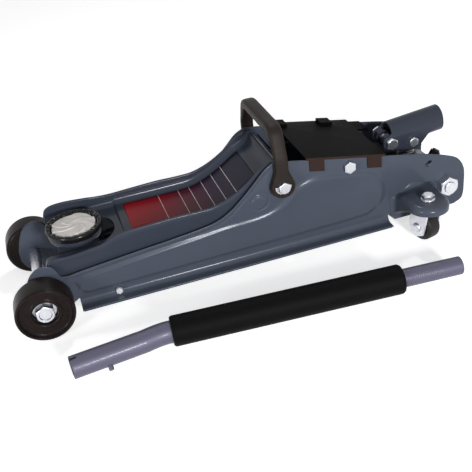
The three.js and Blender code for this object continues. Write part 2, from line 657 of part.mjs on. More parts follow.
function levellingRod(side) {
  const y0 = side * ROD_INNER_Y;
  const y1 = side * (ROD_INNER_Y + ROD_THICKNESS);
  const front = new THREE.Vector2(SADDLE_X, SADDLE_PIN_Z - ROD_OFFSET);
  const rear = new THREE.Vector2(PIVOT_X, PIVOT_Z - ROD_OFFSET);
  const turn = rear.clone().sub(front).angle();
  const eye = ROD_PIN_RADIUS + 3.2;
  const bore = (at) => cylinderY(at.x, at.y, ROD_PIN_RADIUS + RUNNING_GAP, y0 - side * 5,
    y1 + side * 5, 14);
  const normal = new THREE.Vector2(-Math.sin(turn), Math.cos(turn)).multiplyScalar(ROD_HEIGHT / 2);
  const edge = (base, sign) => base.clone().addScaledVector(normal, sign);
  const bar = new THREE.Shape([edge(front, 1), edge(front, -1), edge(rear, -1), edge(rear, 1)]);
  const eyes = [front, rear].map((end) => cylinderY(end.x, end.y, eye, y0, y1, 16));
  return cut(join(sidePlate(bar, y0, y1), ...eyes), bore(front), bore(rear));
}

// ---------------------------------------------------------------- hydraulic unit

const CYLINDER_FRONT_X = RAM_PIN_X + RAM_HEAD_REACH + RAM_HEAD_GAP;
const CYLINDER_REAR_X = BLOCK_FRONT_X + 8;

// Ram with a slotted head around its pin
function ramRod() {
  const slotRise = LEVER_LENGTH * (1 - Math.cos(rad(LEVER_REST_TILT))) / 2;
  const slotRadius = RAM_PIN_RADIUS + RAM_SLOT_CLEARANCE;
  const rod = cylinderX(0, RAM_Z, RAM_ROD_RADIUS, RAM_PIN_X + RAM_HEAD_REACH - 2,
    CYLINDER_FRONT_X + RAM_IN_BARREL, 16);
  const head = box(RAM_PIN_X - RAM_HEAD_REACH + 1, RAM_PIN_X + RAM_HEAD_REACH,
    -RAM_HEAD_HALF_WIDTH, RAM_HEAD_HALF_WIDTH, RAM_Z - RAM_HEAD_HALF_HEIGHT,
    RAM_Z + RAM_HEAD_HALF_HEIGHT);
  const slot = new THREE.Shape();
  slot.absarc(RAM_PIN_X, RAM_Z + slotRise, slotRadius, 0, Math.PI, false);
  slot.absarc(RAM_PIN_X, RAM_Z - slotRise, slotRadius, Math.PI, Math.PI * 2, false);
  return cut(join(rod, head), sidePlate(slot, -20, 20, { curveSegments: 12 }));
}

function cylinderTube() {
  const bore = RAM_ROD_RADIUS + RUNNING_GAP;
  const tube = cylinderX(0, RAM_Z, CYLINDER_RADIUS, CYLINDER_FRONT_X, CYLINDER_REAR_X, 28);
  return cut(tube, cylinderX(0, RAM_Z, bore, CYLINDER_FRONT_X - 1,
    BLOCK_FRONT_X - BARREL_END_WALL, 24));
}

// Room for the cylinder in the pieces around it
function cylinderRoom(from, to) {
  return cylinderX(0, RAM_Z, CYLINDER_RADIUS + RUNNING_GAP, from, to, 28);
}

function cylinderGland() {
  const from = CYLINDER_FRONT_X + 3;
  const ring = cylinderX(0, RAM_Z, CYLINDER_RADIUS + 4.5, from, from + GLAND_WIDTH, 6);
  return cut(
    ring.intersect(cylinderX(0, RAM_Z, CYLINDER_RADIUS + 3.4, from, from + GLAND_WIDTH, 28)),
    cylinderRoom(from - 1, from + GLAND_WIDTH + 1));
}

function reservoir() {
  const from = CYLINDER_FRONT_X + RESERVOIR_SETBACK;
  const to = BLOCK_FRONT_X - RUNNING_GAP;
  return cut(cylinderX(0, RAM_Z, RESERVOIR_RADIUS, from, to, 32), cylinderRoom(from - 1, to + 1));
}

function fillerPlug() {
  const low = RAM_Z + RESERVOIR_RADIUS + RUNNING_GAP;
  return join(cylinderZ(FILLER_X, 0, 6, low, low + 2, 14),
    cylinderZ(FILLER_X, 0, 4.5, low + 1.5, low + 6, 6));
}

const PLUNGER_BOTTOM_Z = 36;

// Power-unit block with the socket lugs, the pump barrel and the release-valve bore
function pumpBlock() {
  const body = new THREE.Shape();
  body.moveTo(BLOCK_FRONT_X, BLOCK_BOTTOM_Z);
  body.lineTo(BLOCK_FRONT_X, BLOCK_TOP_Z);
  body.lineTo(BLOCK_REAR_X - 18, BLOCK_TOP_Z);
  body.lineTo(BLOCK_REAR_X, BLOCK_TOP_Z - 10);
  body.lineTo(BLOCK_REAR_X, BLOCK_BOTTOM_Z);
  const lug = new THREE.Shape();
  lug.moveTo(SOCKET_PIVOT_X - 12, BLOCK_TOP_Z - 3);
  lug.absarc(SOCKET_PIVOT_X, SOCKET_PIVOT_Z, SOCKET_BOLT_RADIUS + 4, Math.PI, 0, true);
  lug.lineTo(SOCKET_PIVOT_X + 10, BLOCK_TOP_Z - 3);
  const lugInner = 5;
  const oneLug = sidePlate(lug, lugInner, LUG_OUTER_Y);
  const barrel = cylinderZ(PUMP_X, 0, PUMP_BARREL_RADIUS, BLOCK_TOP_Z - 2, BARREL_TOP_Z, 16);
  return cut(join(sidePlate(body, -BLOCK_HALF_WIDTH, BLOCK_HALF_WIDTH), oneLug,
    oneLug.mirror([0, 1, 0]), barrel),
  cylinderRoom(BLOCK_FRONT_X - 1, CYLINDER_REAR_X + RUNNING_GAP),
  cylinderZ(PUMP_X, 0, PUMP_PLUNGER_RADIUS + RUNNING_GAP, PLUNGER_BOTTOM_Z - 2,
    BARREL_TOP_Z + 1, 14),
  cylinderY(SOCKET_PIVOT_X, SOCKET_PIVOT_Z, SOCKET_BOLT_RADIUS + RUNNING_GAP, -THROUGH, THROUGH, 14),
  cylinderY(CROSS_BOLT_X, CROSS_BOLT_Z, CROSS_BOLT_RADIUS + RUNNING_GAP, -THROUGH, THROUGH, 16),
  valveAxis(VALVE_STEM_RADIUS + RUNNING_GAP, -VALVE_STEM_LENGTH - 1, 30));
}

// A cylinder along the release valve's inclined axis, from `low` to `high` past its seat
function valveAxis(radius, low, high, sides = 20) {
  const geometry = new THREE.CylinderGeometry(radius, radius, high - low, sides);
  geometry.translate(0, (low + high) / 2, 0).rotateX(Math.PI / 2).rotateY(rad(VALVE_TILT));
  return solid(geometry.translate(VALVE_X, VALVE_Y, VALVE_Z));
}

function releaseValve() {
  const knob = valveAxis(VALVE_KNOB_RADIUS, 3, 15, 12);
  return join(valveAxis(VALVE_STEM_RADIUS, -VALVE_STEM_LENGTH, 4), knob,
    valveAxis(VALVE_KNOB_RADIUS - 2, 14, 17, 14));
}

function pumpPlunger() {
  const stemTop = PLUNGER_TOP_Z - 3;
  return join(cylinderZ(PUMP_X, 0, PUMP_PLUNGER_RADIUS, PLUNGER_BOTTOM_Z, stemTop + 1, 14),
    cylinderZ(PUMP_X, 0, PUMP_BARREL_RADIUS - 1, stemTop, PLUNGER_TOP_Z, 16));
}

// Wire wound round the Z axis
class Helix extends THREE.Curve {
  constructor(turns, radius, length) {
    super();
    Object.assign(this, { turns, radius, length });
  }

  getPoint(t, target = new THREE.Vector3()) {
    const turn = t * this.turns * Math.PI * 2;
    return target.set(this.radius * Math.cos(turn), this.radius * Math.sin(turn),
      t * this.length);
  }
}

function coil(turns, radius, wire, length, stepsPerTurn) {
  return sweep(circle(wire, 5), new Helix(turns, radius, length), turns * stepsPerTurn);
}

function pumpSpring() {
  const turns = 4;
  const wire = 1.1;
  const low = BARREL_TOP_Z + RUNNING_GAP + wire;
  const high = PLUNGER_TOP_Z - 3 - RUNNING_GAP - wire;
  return coil(turns, PUMP_BARREL_RADIUS - 3.2, wire, high - low, 12).translate([PUMP_X, 0, low]);
}

function returnSpring(side) {
  const turns = 9;
  const wire = 1.1;
  const from = RAM_PIN_X + RAM_PIN_RADIUS + 1.2;
  const to = SPRING_ANCHOR_X - 3 - 1.2;
  return coil(turns, 4, wire, to - from, 8).rotate([0, 90, 0])
    .translate([from, side * SPRING_Y, (RAM_PIN_Z + RAM_Z) / 2]);
}

function crossBolt() {
  const end = PLATE_OUTER_Y + CROSS_NUT_HEIGHT + 2.4;
  return cylinderY(CROSS_BOLT_X, CROSS_BOLT_Z, CROSS_BOLT_RADIUS, -end, end, 16);
}

function crossNut(side) {
  const near = PLATE_OUTER_Y + RUNNING_GAP;
  return hexNut(CROSS_BOLT_X, CROSS_BOLT_Z, CROSS_NUT_ACROSS, side * near,
    side * (near + CROSS_NUT_HEIGHT), CROSS_BOLT_RADIUS + RUNNING_GAP);
}

// ---------------------------------------------------------------- handle socket

const CHEEK_OUTER_Y = SOCKET_TUBE_RADIUS;
const CHEEK_INNER_Y = CHEEK_OUTER_Y - SOCKET_SHEET;

function socketCylinder(radius, from, to, sides = 20) {
  const geometry = new THREE.CylinderGeometry(radius, radius, to - from, sides);
  geometry.rotateZ(-Math.PI / 2).translate((from + to) / 2, 0, 0).rotateY(-rad(SOCKET_TILT));
  return solid(geometry.translate(SOCKET_PIVOT_X + SOCKET_SETBACK, 0,
    SOCKET_PIVOT_Z + SOCKET_LIFT));
}

// Tube with two cheeks flush with its sides, which hang down round the pump's lugs
function handleSocket() {
  const at = (x, z) => [SOCKET_PIVOT_X + x, SOCKET_PIVOT_Z + z];
  const cheek = new THREE.Shape();
  cheek.moveTo(...at(-10, 10));
  cheek.splineThru(points2([at(-9.6, -1), at(-8.4, -5), at(-4, -7.4), at(12, -13),
    at(31, -15.5), at(38, -13.6), at(44, -7), at(51, 0.6), at(62, 5.6)]));
  cheek.lineTo(...at(64, 10.8));
  cheek.lineTo(...at(2, 4.8));
  const tube = socketCylinder(SOCKET_TUBE_RADIUS, 0, SOCKET_REACH, 24);
  const oneCheek = sidePlate(cheek, CHEEK_INNER_Y, CHEEK_OUTER_Y);
  const archRear = PUMP_X + PUMP_BARREL_RADIUS + SOCKET_ARCH_REAR_GAP;
  const arch = box(SOCKET_PIVOT_X - SOCKET_TUBE_RADIUS, archRear, -CHEEK_INNER_Y, CHEEK_INNER_Y,
    BLOCK_TOP_Z, SOCKET_PIVOT_Z + SOCKET_ARCH_RISE);
  const hollow = socketCylinder(SOCKET_TUBE_RADIUS - SOCKET_WALL,
    archRear - SOCKET_PIVOT_X - SOCKET_SETBACK - 8, SOCKET_REACH + 1);
  return cut(join(tube, oneCheek, oneCheek.mirror([0, 1, 0])), hollow, arch,
    cylinderY(SOCKET_PIVOT_X, SOCKET_PIVOT_Z, SOCKET_BOLT_RADIUS + RUNNING_GAP,
      -THROUGH, THROUGH, 14),
    cylinderY(PUMP_X, ROLLER_Z, ROLLER_PIN_RADIUS + RUNNING_GAP, -THROUGH, THROUGH, 14));
}

function socketBolt() {
  const near = CHEEK_OUTER_Y + RUNNING_GAP;
  const x = SOCKET_PIVOT_X;
  const z = SOCKET_PIVOT_Z;
  return join(cylinderY(x, z, SOCKET_BOLT_RADIUS, -near - 1, near + 1, 14),
    hexNut(x, z, 13, -near, -near - 5), hexNut(x, z, 13, near, near + 5));
}

// Bolt through the cheeks whose middle is the roller that pushes the plunger
function socketRoller() {
  const near = CHEEK_OUTER_Y + RUNNING_GAP;
  return join(cylinderY(PUMP_X, ROLLER_Z, ROLLER_PIN_RADIUS, -near - 1, near + 1, 14),
    cylinderY(PUMP_X, ROLLER_Z, PUMP_ROLLER_RADIUS, -LUG_OUTER_Y, LUG_OUTER_Y, 16),
    hexNut(PUMP_X, ROLLER_Z, 11, -near, -near - 4), hexNut(PUMP_X, ROLLER_Z, 11, near, near + 4));
}

// ---------------------------------------------------------------- ties and cover

function tieBolt() {
  const near = PLATE_OUTER_Y + RUNNING_GAP;
  return join(cylinderY(TIE_BOLT_X, TIE_BOLT_Z, TIE_BOLT_RADIUS, -near - 2, near + 2, 14),
    hexY(TIE_BOLT_X, TIE_BOLT_Z, 13, -near - 5, -near),
    hexY(TIE_BOLT_X, TIE_BOLT_Z, 13, near, near + 5));
}

function tieSpacer() {
  const end = PLATE_INNER_Y - RUNNING_GAP;
  return cut(cylinderY(TIE_BOLT_X, TIE_BOLT_Z, TIE_BOLT_RADIUS + 3.5, -end, end, 14),
    cylinderY(TIE_BOLT_X, TIE_BOLT_Z, TIE_BOLT_RADIUS + RUNNING_GAP, -THROUGH, THROUGH, 14));
}

function frontTie() {
  const near = PLATE_OUTER_Y + 1.4;
  const head = 4;
  return join(cylinderY(FRONT_TIE_X, FRONT_TIE_Z, FRONT_TIE_RADIUS, -near - 1, near + 1, 14),
    hexY(FRONT_TIE_X, FRONT_TIE_Z, 7, -near - head, -near),
    hexY(FRONT_TIE_X, FRONT_TIE_Z, 7, near, near + head));
}

// Plastic cover lying on the plates' top edges, with clip tabs down their outer faces
function topCover() {
  const low = (x) => topEdgeZ(x) + RUNNING_GAP;
  const strip = (x0, x1, rise, drop) => polygon([[x0, low(x0) - drop], [x0, low(x0) + rise],
    [x1, low(x1) + rise], [x1, low(x1) - drop]]);
  const half = PLATE_OUTER_Y + RUNNING_GAP + TAB_THICKNESS;
  const deck = sidePlate(strip(COVER_FRONT_X, COVER_REAR_X, COVER_THICKNESS, 0), -half, half);
  const tongue = sidePlate(strip(COVER_REAR_X - 3, COVER_REAR_X + 15, COVER_THICKNESS, 0),
    22, PLATE_INNER_Y - 2);
  const clip = (x0, x1) => sidePlate(strip(x0, x1, COVER_THICKNESS + CLIP_RISE, 0),
    half - CLIP_LENGTH, half);
  const rib = (y) => sidePlate(strip(COVER_FRONT_X + 2, COVER_REAR_X - 2, 1, 1.2), y - 1, y + 1);
  const tab = (x, side) => sidePlate(strip(x, x + TAB_WIDTH, 1, TAB_DROP),
    side * (PLATE_OUTER_Y + RUNNING_GAP), side * half);
  const tabs = [COVER_FRONT_X + 4, COVER_REAR_X - 5 - TAB_WIDTH].flatMap((x) =>
    [tab(x, -1), tab(x, 1)]);
  return join(deck, tongue, tongue.mirror([0, 1, 0]), clip(COVER_FRONT_X + 3, COVER_FRONT_X + 14),
    clip(COVER_REAR_X - 41, COVER_REAR_X - 25), rib(-PLATE_INNER_Y + 3), rib(PLATE_INNER_Y - 3),
    ...tabs);
}

// ---------------------------------------------------------------- carry handle

function carryHandle() {
  const legY = CARRY_LEG_INNER_Y + CARRY_BAR_THICKNESS / 2;
  const top = CARRY_TOP_Z - CARRY_BAR_THICKNESS / 2 - 1;
  const corner = 16;
  const path = new THREE.CurvePath();
  const at = (y, z) => new THREE.Vector3(CARRY_X, y, z);
  const topY = PLATE_OUTER_Y - CARRY_TOP_INSET - 2;
  path.add(new THREE.LineCurve3(at(-legY, CARRY_Z), at(-legY, 128)));
  path.add(new THREE.CubicBezierCurve3(at(-legY, 128), at(-legY, 140), at(-topY, 136),
    at(-topY, top - corner)));
  path.add(new THREE.QuadraticBezierCurve3(at(-topY, top - corner), at(-topY, top),
    at(-topY + corner, top)));
  path.add(new THREE.LineCurve3(at(-topY + corner, top), at(topY - corner, top)));
  path.add(new THREE.QuadraticBezierCurve3(at(topY - corner, top), at(topY, top),
    at(topY, top - corner)));
  path.add(new THREE.CubicBezierCurve3(at(topY, top - corner), at(topY, 136), at(legY, 140),
    at(legY, 128)));
  path.add(new THREE.LineCurve3(at(legY, 128), at(legY, CARRY_Z)));
  const round = CARRY_BAR_THICKNESS * 0.42;
  const bar = sweep(roundedRectangle(CARRY_BAR_THICKNESS, CARRY_LEG_WIDTH, round), path, 26);
  const eye = (side) => cylinderY(CARRY_X, CARRY_Z, CARRY_EYE_RADIUS,
    side * (legY - CARRY_BAR_THICKNESS / 2 + 0.4), side * (legY + CARRY_BAR_THICKNESS / 2), 24);
  const gripMiddle = CARRY_TOP_Z - CARRY_GRIP_HEIGHT / 2;
  const gripEnd = topY - corner + 4;
  const grip = sweep(roundedRectangle(CARRY_GRIP_HEIGHT, CARRY_LEG_WIDTH + 1, 4.5),
    new THREE.LineCurve3(at(-gripEnd, gripMiddle), at(gripEnd, gripMiddle)), 1);
  const bumps = [-1.5, -0.5, 0.5, 1.5].map((i) => {
    const bump = new THREE.SphereGeometry(8.6, 10, 6).scale(0.72, 1, 0.46);
    return solid(bump.translate(CARRY_X, i * 17, CARRY_TOP_Z - CARRY_GRIP_HEIGHT));
  });
  const bore = (side) => join(
    cylinderY(CARRY_X, CARRY_Z, CARRY_BOLT_RADIUS + RUNNING_GAP, side * PLATE_INNER_Y,
      side * WHEEL_OUTER_Y, 14),
    cylinderY(CARRY_X, CARRY_Z, CARRY_BOLT_RECESS, side * (legY + CARRY_BAR_THICKNESS / 2 - 4),
      side * WHEEL_OUTER_Y, 16));
  return cut(join(bar, grip, eye(-1), eye(1), ...bumps), bore(-1), bore(1));
}

// Hex bolt with a wide flange, screwed into the plate
function carryBolt(side) {
  const legOuter = CARRY_LEG_INNER_Y + CARRY_BAR_THICKNESS;
  const seat = legOuter - 4 + RUNNING_GAP;
  return join(
    cylinderY(CARRY_X, CARRY_Z, CARRY_BOLT_RADIUS, side * (PLATE_INNER_Y + 0.2),
      side * (seat + 1), 14),
    cylinderY(CARRY_X, CARRY_Z, 9.8, side * seat, side * (seat + 1.8), 16),
    hexNut(CARRY_X, CARRY_Z, 13, side * (seat + 1.6), side * (seat + 7.5)));
}

// ---------------------------------------------------------------- casters

const FORK_TOP_Z = CASTER_PLATE_Z - RUNNING_GAP;

function casterBracketOutline(side, inset) {
  const near = PLATE_OUTER_Y + RUNNING_GAP + inset;
  const radius = CASTER_BRACKET_RADIUS - inset;
  const outline = new THREE.Shape();
  outline.moveTo(CASTER_X - CASTER_BRACKET_RADIUS + inset, side * near);
  outline.lineTo(CASTER_X - CASTER_BRACKET_RADIUS + inset, side * CASTER_Y);
  outline.absarc(CASTER_X, side * CASTER_Y, radius, Math.PI, 0, side > 0);
  outline.lineTo(CASTER_X + CASTER_BRACKET_RADIUS - inset, side * near);
  return outline;
}

function casterBracket(side) {
  const top = CASTER_PLATE_Z + CASTER_SHEET;
  const bottom = top - CASTER_SKIRT;
  const wallInner = PLATE_OUTER_Y + RUNNING_GAP;
  const left = CASTER_X - CASTER_BRACKET_RADIUS;
  const wing = floorPlate(casterBracketOutline(side, 0), bottom, top);
  const hollow = floorPlate(casterBracketOutline(side, CASTER_SHEET), bottom - 1, CASTER_PLATE_Z);
  const wall = sidePlate(polygon([[left, 20], [left, top], [left + 3, top + 4],
    [left + 42, top + 4], [left + 48.8, top - 3], [left + 48.8, bottom], [left + 12, bottom - 2],
    [left + 7, 20]]),
  side * wallInner, side * (wallInner + CASTER_SHEET));
  const gusset = alongX(polygon([[side * wallInner, 20], [side * wallInner, top],
    [side * CASTER_Y, top], [side * CASTER_Y, bottom], [side * (wallInner + 8), 26]]),
  left, left + CASTER_SHEET);
  return cut(join(cut(wing, hollow), wall, gusset),
    cylinderZ(CASTER_X, side * CASTER_Y, CASTER_STEM_RADIUS + RUNNING_GAP, 0, 2 * CASTER_PLATE_Z,
      14));
}

// Pieces of a caster are made trailing towards +X and then turned about the stem
function placeCaster(body, side) {
  return body.rotate([0, 0, side < 0 ? -CASTER_TURN : CASTER_TURN])
    .translate([CASTER_X, side * CASTER_Y, 0]);
}

const FORK_INNER = CASTER_WHEEL_WIDTH / 2 + 0.8;

function casterFork(side) {
  const axle = CASTER_WHEEL_RADIUS;
  const cheek = new THREE.Shape();
  cheek.moveTo(-13, FORK_TOP_Z);
  cheek.lineTo(13, FORK_TOP_Z);
  cheek.absarc(CASTER_TRAIL, axle, CASTER_FORK_LOBE, rad(10), rad(-190), true);
  const one = sidePlate(cheek, FORK_INNER, FORK_INNER + CASTER_FORK_SHEET);
  const crown = floorPlate(roundedRectangle(26, 2 * (FORK_INNER + CASTER_FORK_SHEET), 4),
    FORK_TOP_Z - CASTER_FORK_SHEET, FORK_TOP_Z).translate([1, 0, 0]);
  const bore = cylinderY(CASTER_TRAIL, axle, CASTER_AXLE_RADIUS + RUNNING_GAP,
    -2 * FORK_INNER, 2 * FORK_INNER, 14);
  const stem = cylinderZ(0, 0, CASTER_STEM_RADIUS, FORK_TOP_Z - 1,
    CASTER_PLATE_Z + CASTER_SHEET + 7.2, 14);
  return placeCaster(cut(join(one, one.mirror([0, 1, 0]), crown, stem), bore), side);
}

function casterWheel(side) {
  const half = CASTER_WHEEL_WIDTH / 2;
  const r = CASTER_WHEEL_RADIUS;
  const bore = CASTER_AXLE_RADIUS + RUNNING_GAP;
  const body = turnedY([[bore, -half + 0.2], [8, -half + 0.2], [8.6, -half + 1.6],
    [r - 6, -half + 1.6], [r - 5, -half], [r - 2, -half], [r - 0.5, -half + 1.2], [r, -half + 3],
    [r, half - 3], [r - 0.5, half - 1.2], [r - 2, half], [r - 5, half], [r - 6, half - 1.6],
    [8.6, half - 1.6], [8, half - 0.2], [bore, half - 0.2]], CASTER_TRAIL, r, 16);
  return placeCaster(body, side);
}

function casterAxle(side) {
  const outer = FORK_INNER + CASTER_FORK_SHEET + RUNNING_GAP;
  const r = CASTER_WHEEL_RADIUS;
  const head = (sign) => turnedY([[0, sign * outer], [6, sign * outer],
    [5.4, sign * (outer + 1.6)], [3, sign * (outer + 2.6)], [0, sign * (outer + 2.7)]],
  CASTER_TRAIL, r, 14);
  return placeCaster(join(cylinderY(CASTER_TRAIL, r, CASTER_AXLE_RADIUS, -outer - 0.5,
    outer + 0.5, 14), head(-1), head(1)), side);
}

function casterNut(side) {
  const low = CASTER_PLATE_Z + CASTER_SHEET + RUNNING_GAP;
  const washer = cylinderZ(CASTER_X, side * CASTER_Y, 8.4, low, low + 1.2, 16);
  const nut = cylinderZ(CASTER_X, side * CASTER_Y, 13 / Math.sqrt(3), low + 1, low + 6, 6);
  return cut(join(washer, nut),
    cylinderZ(CASTER_X, side * CASTER_Y, CASTER_STEM_RADIUS + RUNNING_GAP, 0, 2 * CASTER_PLATE_Z,
      14));
}

// ---------------------------------------------------------------- pump handle

const GRIP_LEFT = new THREE.Vector3(121, -PLATE_OUTER_Y - GRIP_ASIDE, GRIP_RADIUS);
const GRIP_RUN = new THREE.Vector3(252, -21, 0).normalize();
const onGrip = (distance) => GRIP_LEFT.clone().addScaledVector(GRIP_RUN, distance);
const BAR_TIP = GRIP_LEFT.clone().add(new THREE.Vector3(-107, -12, 0));
const BAR_RUN = GRIP_LEFT.clone().sub(BAR_TIP).normalize();
const PEG_AT = BAR_TIP.clone().addScaledVector(BAR_RUN, 48.3);

// A path straight from station to station, with a section at each
class Route extends THREE.Curve {
  constructor(stations) {
    super();
    this.stations = stations;
  }

  getPoint(t, target = new THREE.Vector3()) {
    const span = t * (this.stations.length - 1);
    const i = Math.min(Math.floor(span), this.stations.length - 2);
    return target.copy(this.stations[i]).lerp(this.stations[i + 1], span - i);
  }

  getPointAt(u, target) {
    return this.getPoint(u, target);
  }

  getTangentAt(u, target) {
    return this.getTangent(u, target);
  }
}

// Tube that carries the grip and bends just past the grip's left end
function lowerTube() {
  const away = BAR_RUN.clone().negate();
  const bend = new THREE.QuadraticBezierCurve3(GRIP_LEFT.clone().addScaledVector(away, 30),
    onGrip(-12), onGrip(-2));
  const bar = (radius, extra) => {
    const stations = [BAR_TIP.clone().addScaledVector(away, extra), ...bend.getPoints(5),
      onGrip(GRIP_LENGTH - 1 + extra)];
    return sweep(circle(radius, 24), new Route(stations), stations.length - 1);
  };
  const slotAt = BAR_TIP.clone().addScaledVector(away, -4);
  const slot = new THREE.BoxGeometry(12, 6, 40).rotateZ(Math.atan2(away.y, away.x))
    .translate(slotAt.x, slotAt.y, slotAt.z);
  const pegHole = cylinderZ(PEG_AT.x, PEG_AT.y, PEG_RADIUS + RUNNING_GAP, 0, GRIP_RADIUS, 14);
  return cut(bar(LOWER_TUBE_RADIUS, 0), bar(LOWER_TUBE_RADIUS - TUBE_WALL, 2), solid(slot),
    pegHole);
}

// Sprung peg under the lower tube that locks it in the socket
function barPeg() {
  const low = GRIP_RADIUS - LOWER_TUBE_RADIUS;
  return join(cylinderZ(PEG_AT.x, PEG_AT.y, PEG_RADIUS, low - 2.6, low + 3.5, 16),
    cylinderZ(PEG_AT.x, PEG_AT.y, PEG_RADIUS + 1.4, low + 2.6, low + 4.6, 16));
}

// A cylinder along the grip's axis between two distances from its left end
function alongGrip(radius, from, to, sides = 24) {
  const centre = onGrip((from + to) / 2);
  const geometry = new THREE.CylinderGeometry(radius, radius, to - from, sides);
  geometry.rotateZ(Math.atan2(GRIP_RUN.y, GRIP_RUN.x) - Math.PI / 2);
  return solid(geometry.translate(centre.x, centre.y, centre.z));
}

function upperTube() {
  const [from, to] = [GRIP_LENGTH - TUBE_OVERLAP, GRIP_LENGTH + UPPER_TUBE_SHOWING];
  return cut(alongGrip(UPPER_TUBE_RADIUS, from, to),
    alongGrip(UPPER_TUBE_RADIUS - TUBE_WALL, from - 1, to + 1));
}

function foamGrip() {
  return cut(alongGrip(GRIP_RADIUS, 0, GRIP_LENGTH, 24),
    alongGrip(LOWER_TUBE_RADIUS + RUNNING_GAP, -1, GRIP_LENGTH + 1));
}

// ---------------------------------------------------------------- assembly

SIDES.forEach(([name, side]) => {
  add(`${name}_side_plate`, sidePlateSolid(side), framePaint);
  add(`${name}_front_wheel`, frontWheel(side), rollerBlack);
  add(`${name}_wheel_washer`, wheelWasher(side), zinc);
  add(`${name}_wheel_nut`, wheelNut(side), zinc);
  add(`${name}_levelling_rod`, levellingRod(side), framePaint);
  add(`${name}_return_spring`, returnSpring(side), springSteel);
  add(`${name}_cross_nut`, crossNut(side), zinc);
  add(`${name}_carry_bolt`, carryBolt(side), zinc);
  add(`${name}_caster_bracket`, casterBracket(side), framePaint);
  add(`${name}_caster_fork`, casterFork(side), zinc);
  add(`${name}_caster_axle`, casterAxle(side), zinc);
  add(`${name}_caster_wheel`, casterWheel(side), rollerBlack);
  add(`${name}_caster_nut`, casterNut(side), zinc);
});
add('front_axle', frontAxle(), zinc);
add('arm_pivot_shaft', pivotShaft(), zinc);
add('lift_arm', liftArm(), framePaint);
add('arm_lever', armLever(), framePaint);
add('ram_pin', ramPin(), zinc);
add('saddle_pin', saddlePin(), zinc);
add('saddle_bracket', saddleBracket(), framePaint);
add('saddle_cup', saddleCup(), framePaint);
add('saddle_ring', saddleRing(), blackSteel);
add('saddle_pad', saddlePad(), greyRubber);
add('ram_rod', ramRod(), zinc);
add('cylinder_tube', cylinderTube(), framePaint);
add('cylinder_gland', cylinderGland(), blackSteel);
add('oil_reservoir', reservoir(), framePaint);
add('filler_plug', fillerPlug(), blackSteel);
add('pump_block', pumpBlock(), framePaint);
add('release_valve', releaseValve(), zinc);
add('pump_plunger', pumpPlunger(), zinc);
add('pump_spring', pumpSpring(), springSteel);
add('cross_bolt', crossBolt(), zinc);
add('handle_socket', handleSocket(), framePaint);
add('socket_bolt', socketBolt(), zinc);
add('socket_roller', socketRoller(), zinc);
add('tie_bolt', tieBolt(), zinc);
add('tie_spacer', tieSpacer(), zinc);
add('front_tie', frontTie(), zinc);
add('top_cover', topCover(), blackPlastic);
add('carry_handle', carryHandle(), handlePlastic);
add('lower_handle_tube', lowerTube(), tubePaint);
add('upper_handle_tube', upperTube(), tubePaint);
add('foam_grip', foamGrip(), foam);
add('handle_peg', barPeg(), zinc);

// The whole object stands with the middle of its base at the origin
const bounds = new THREE.Box3().setFromObject(jack);
const middle = bounds.getCenter(new THREE.Vector3());
const group = new THREE.Group();
jack.children.slice().forEach((piece) => {
  piece.geometry.translate(-middle.x, -middle.y, -bounds.min.z);
  group.add(piece);
});

export default group;
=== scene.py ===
# %% [markdown]
# # A low-profile trolley jack, dressed in Blender
# The jack's solids come ready-made, at their true size and place, as a fixed frame of parts.
# This lesson gives them their finish: pressed steel under slate paint, zinc-plated bolts, black
# rollers, a soft saddle pad, a foam grip. It starts by loading the frame and keeping its box.

# %% Load the frame
import json
import math

import bmesh
import bpy
import numpy as np
from mathutils import Matrix, Vector


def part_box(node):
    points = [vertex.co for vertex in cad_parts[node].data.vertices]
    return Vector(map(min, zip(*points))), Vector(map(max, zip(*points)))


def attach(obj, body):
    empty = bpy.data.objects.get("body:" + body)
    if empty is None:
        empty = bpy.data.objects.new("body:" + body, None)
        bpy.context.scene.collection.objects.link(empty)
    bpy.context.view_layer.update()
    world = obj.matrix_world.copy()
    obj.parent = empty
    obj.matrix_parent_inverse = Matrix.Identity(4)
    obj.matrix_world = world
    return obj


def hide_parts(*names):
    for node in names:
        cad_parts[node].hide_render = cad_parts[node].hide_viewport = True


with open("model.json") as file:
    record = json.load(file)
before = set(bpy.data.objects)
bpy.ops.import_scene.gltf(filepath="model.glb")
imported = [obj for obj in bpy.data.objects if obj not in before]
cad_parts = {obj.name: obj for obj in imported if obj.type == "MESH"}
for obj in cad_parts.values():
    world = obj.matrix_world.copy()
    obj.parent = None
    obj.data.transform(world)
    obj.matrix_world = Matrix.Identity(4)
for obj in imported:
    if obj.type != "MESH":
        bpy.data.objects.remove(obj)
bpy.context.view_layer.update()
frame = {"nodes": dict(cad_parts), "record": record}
MM = 0.001
SIDES = (("left", -1), ("right", 1))


def centre(node):
    """Middle of a part's box, in metres."""
    low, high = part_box(node)
    return (low + high) / 2


axle = centre("front_axle")
print("parts:", len(frame["nodes"]), "front axle at", tuple(round(v, 4) for v in axle))


# %% [markdown]
# ## The camera
# A jack is looked at from its front left and from above, as one walks up to it on the floor.
# A camera could be placed by a location and three Euler angles. An azimuth, an elevation and a
# roll round a point to look at are easier to tune, because each changes one thing that is seen.
# The point and the distance are counted from the front axle.

# %% Camera
def linked(name, data):
    """A new object of this data in the scene."""
    made = bpy.data.objects.new(name, data)
    bpy.context.scene.collection.objects.link(made)
    return made


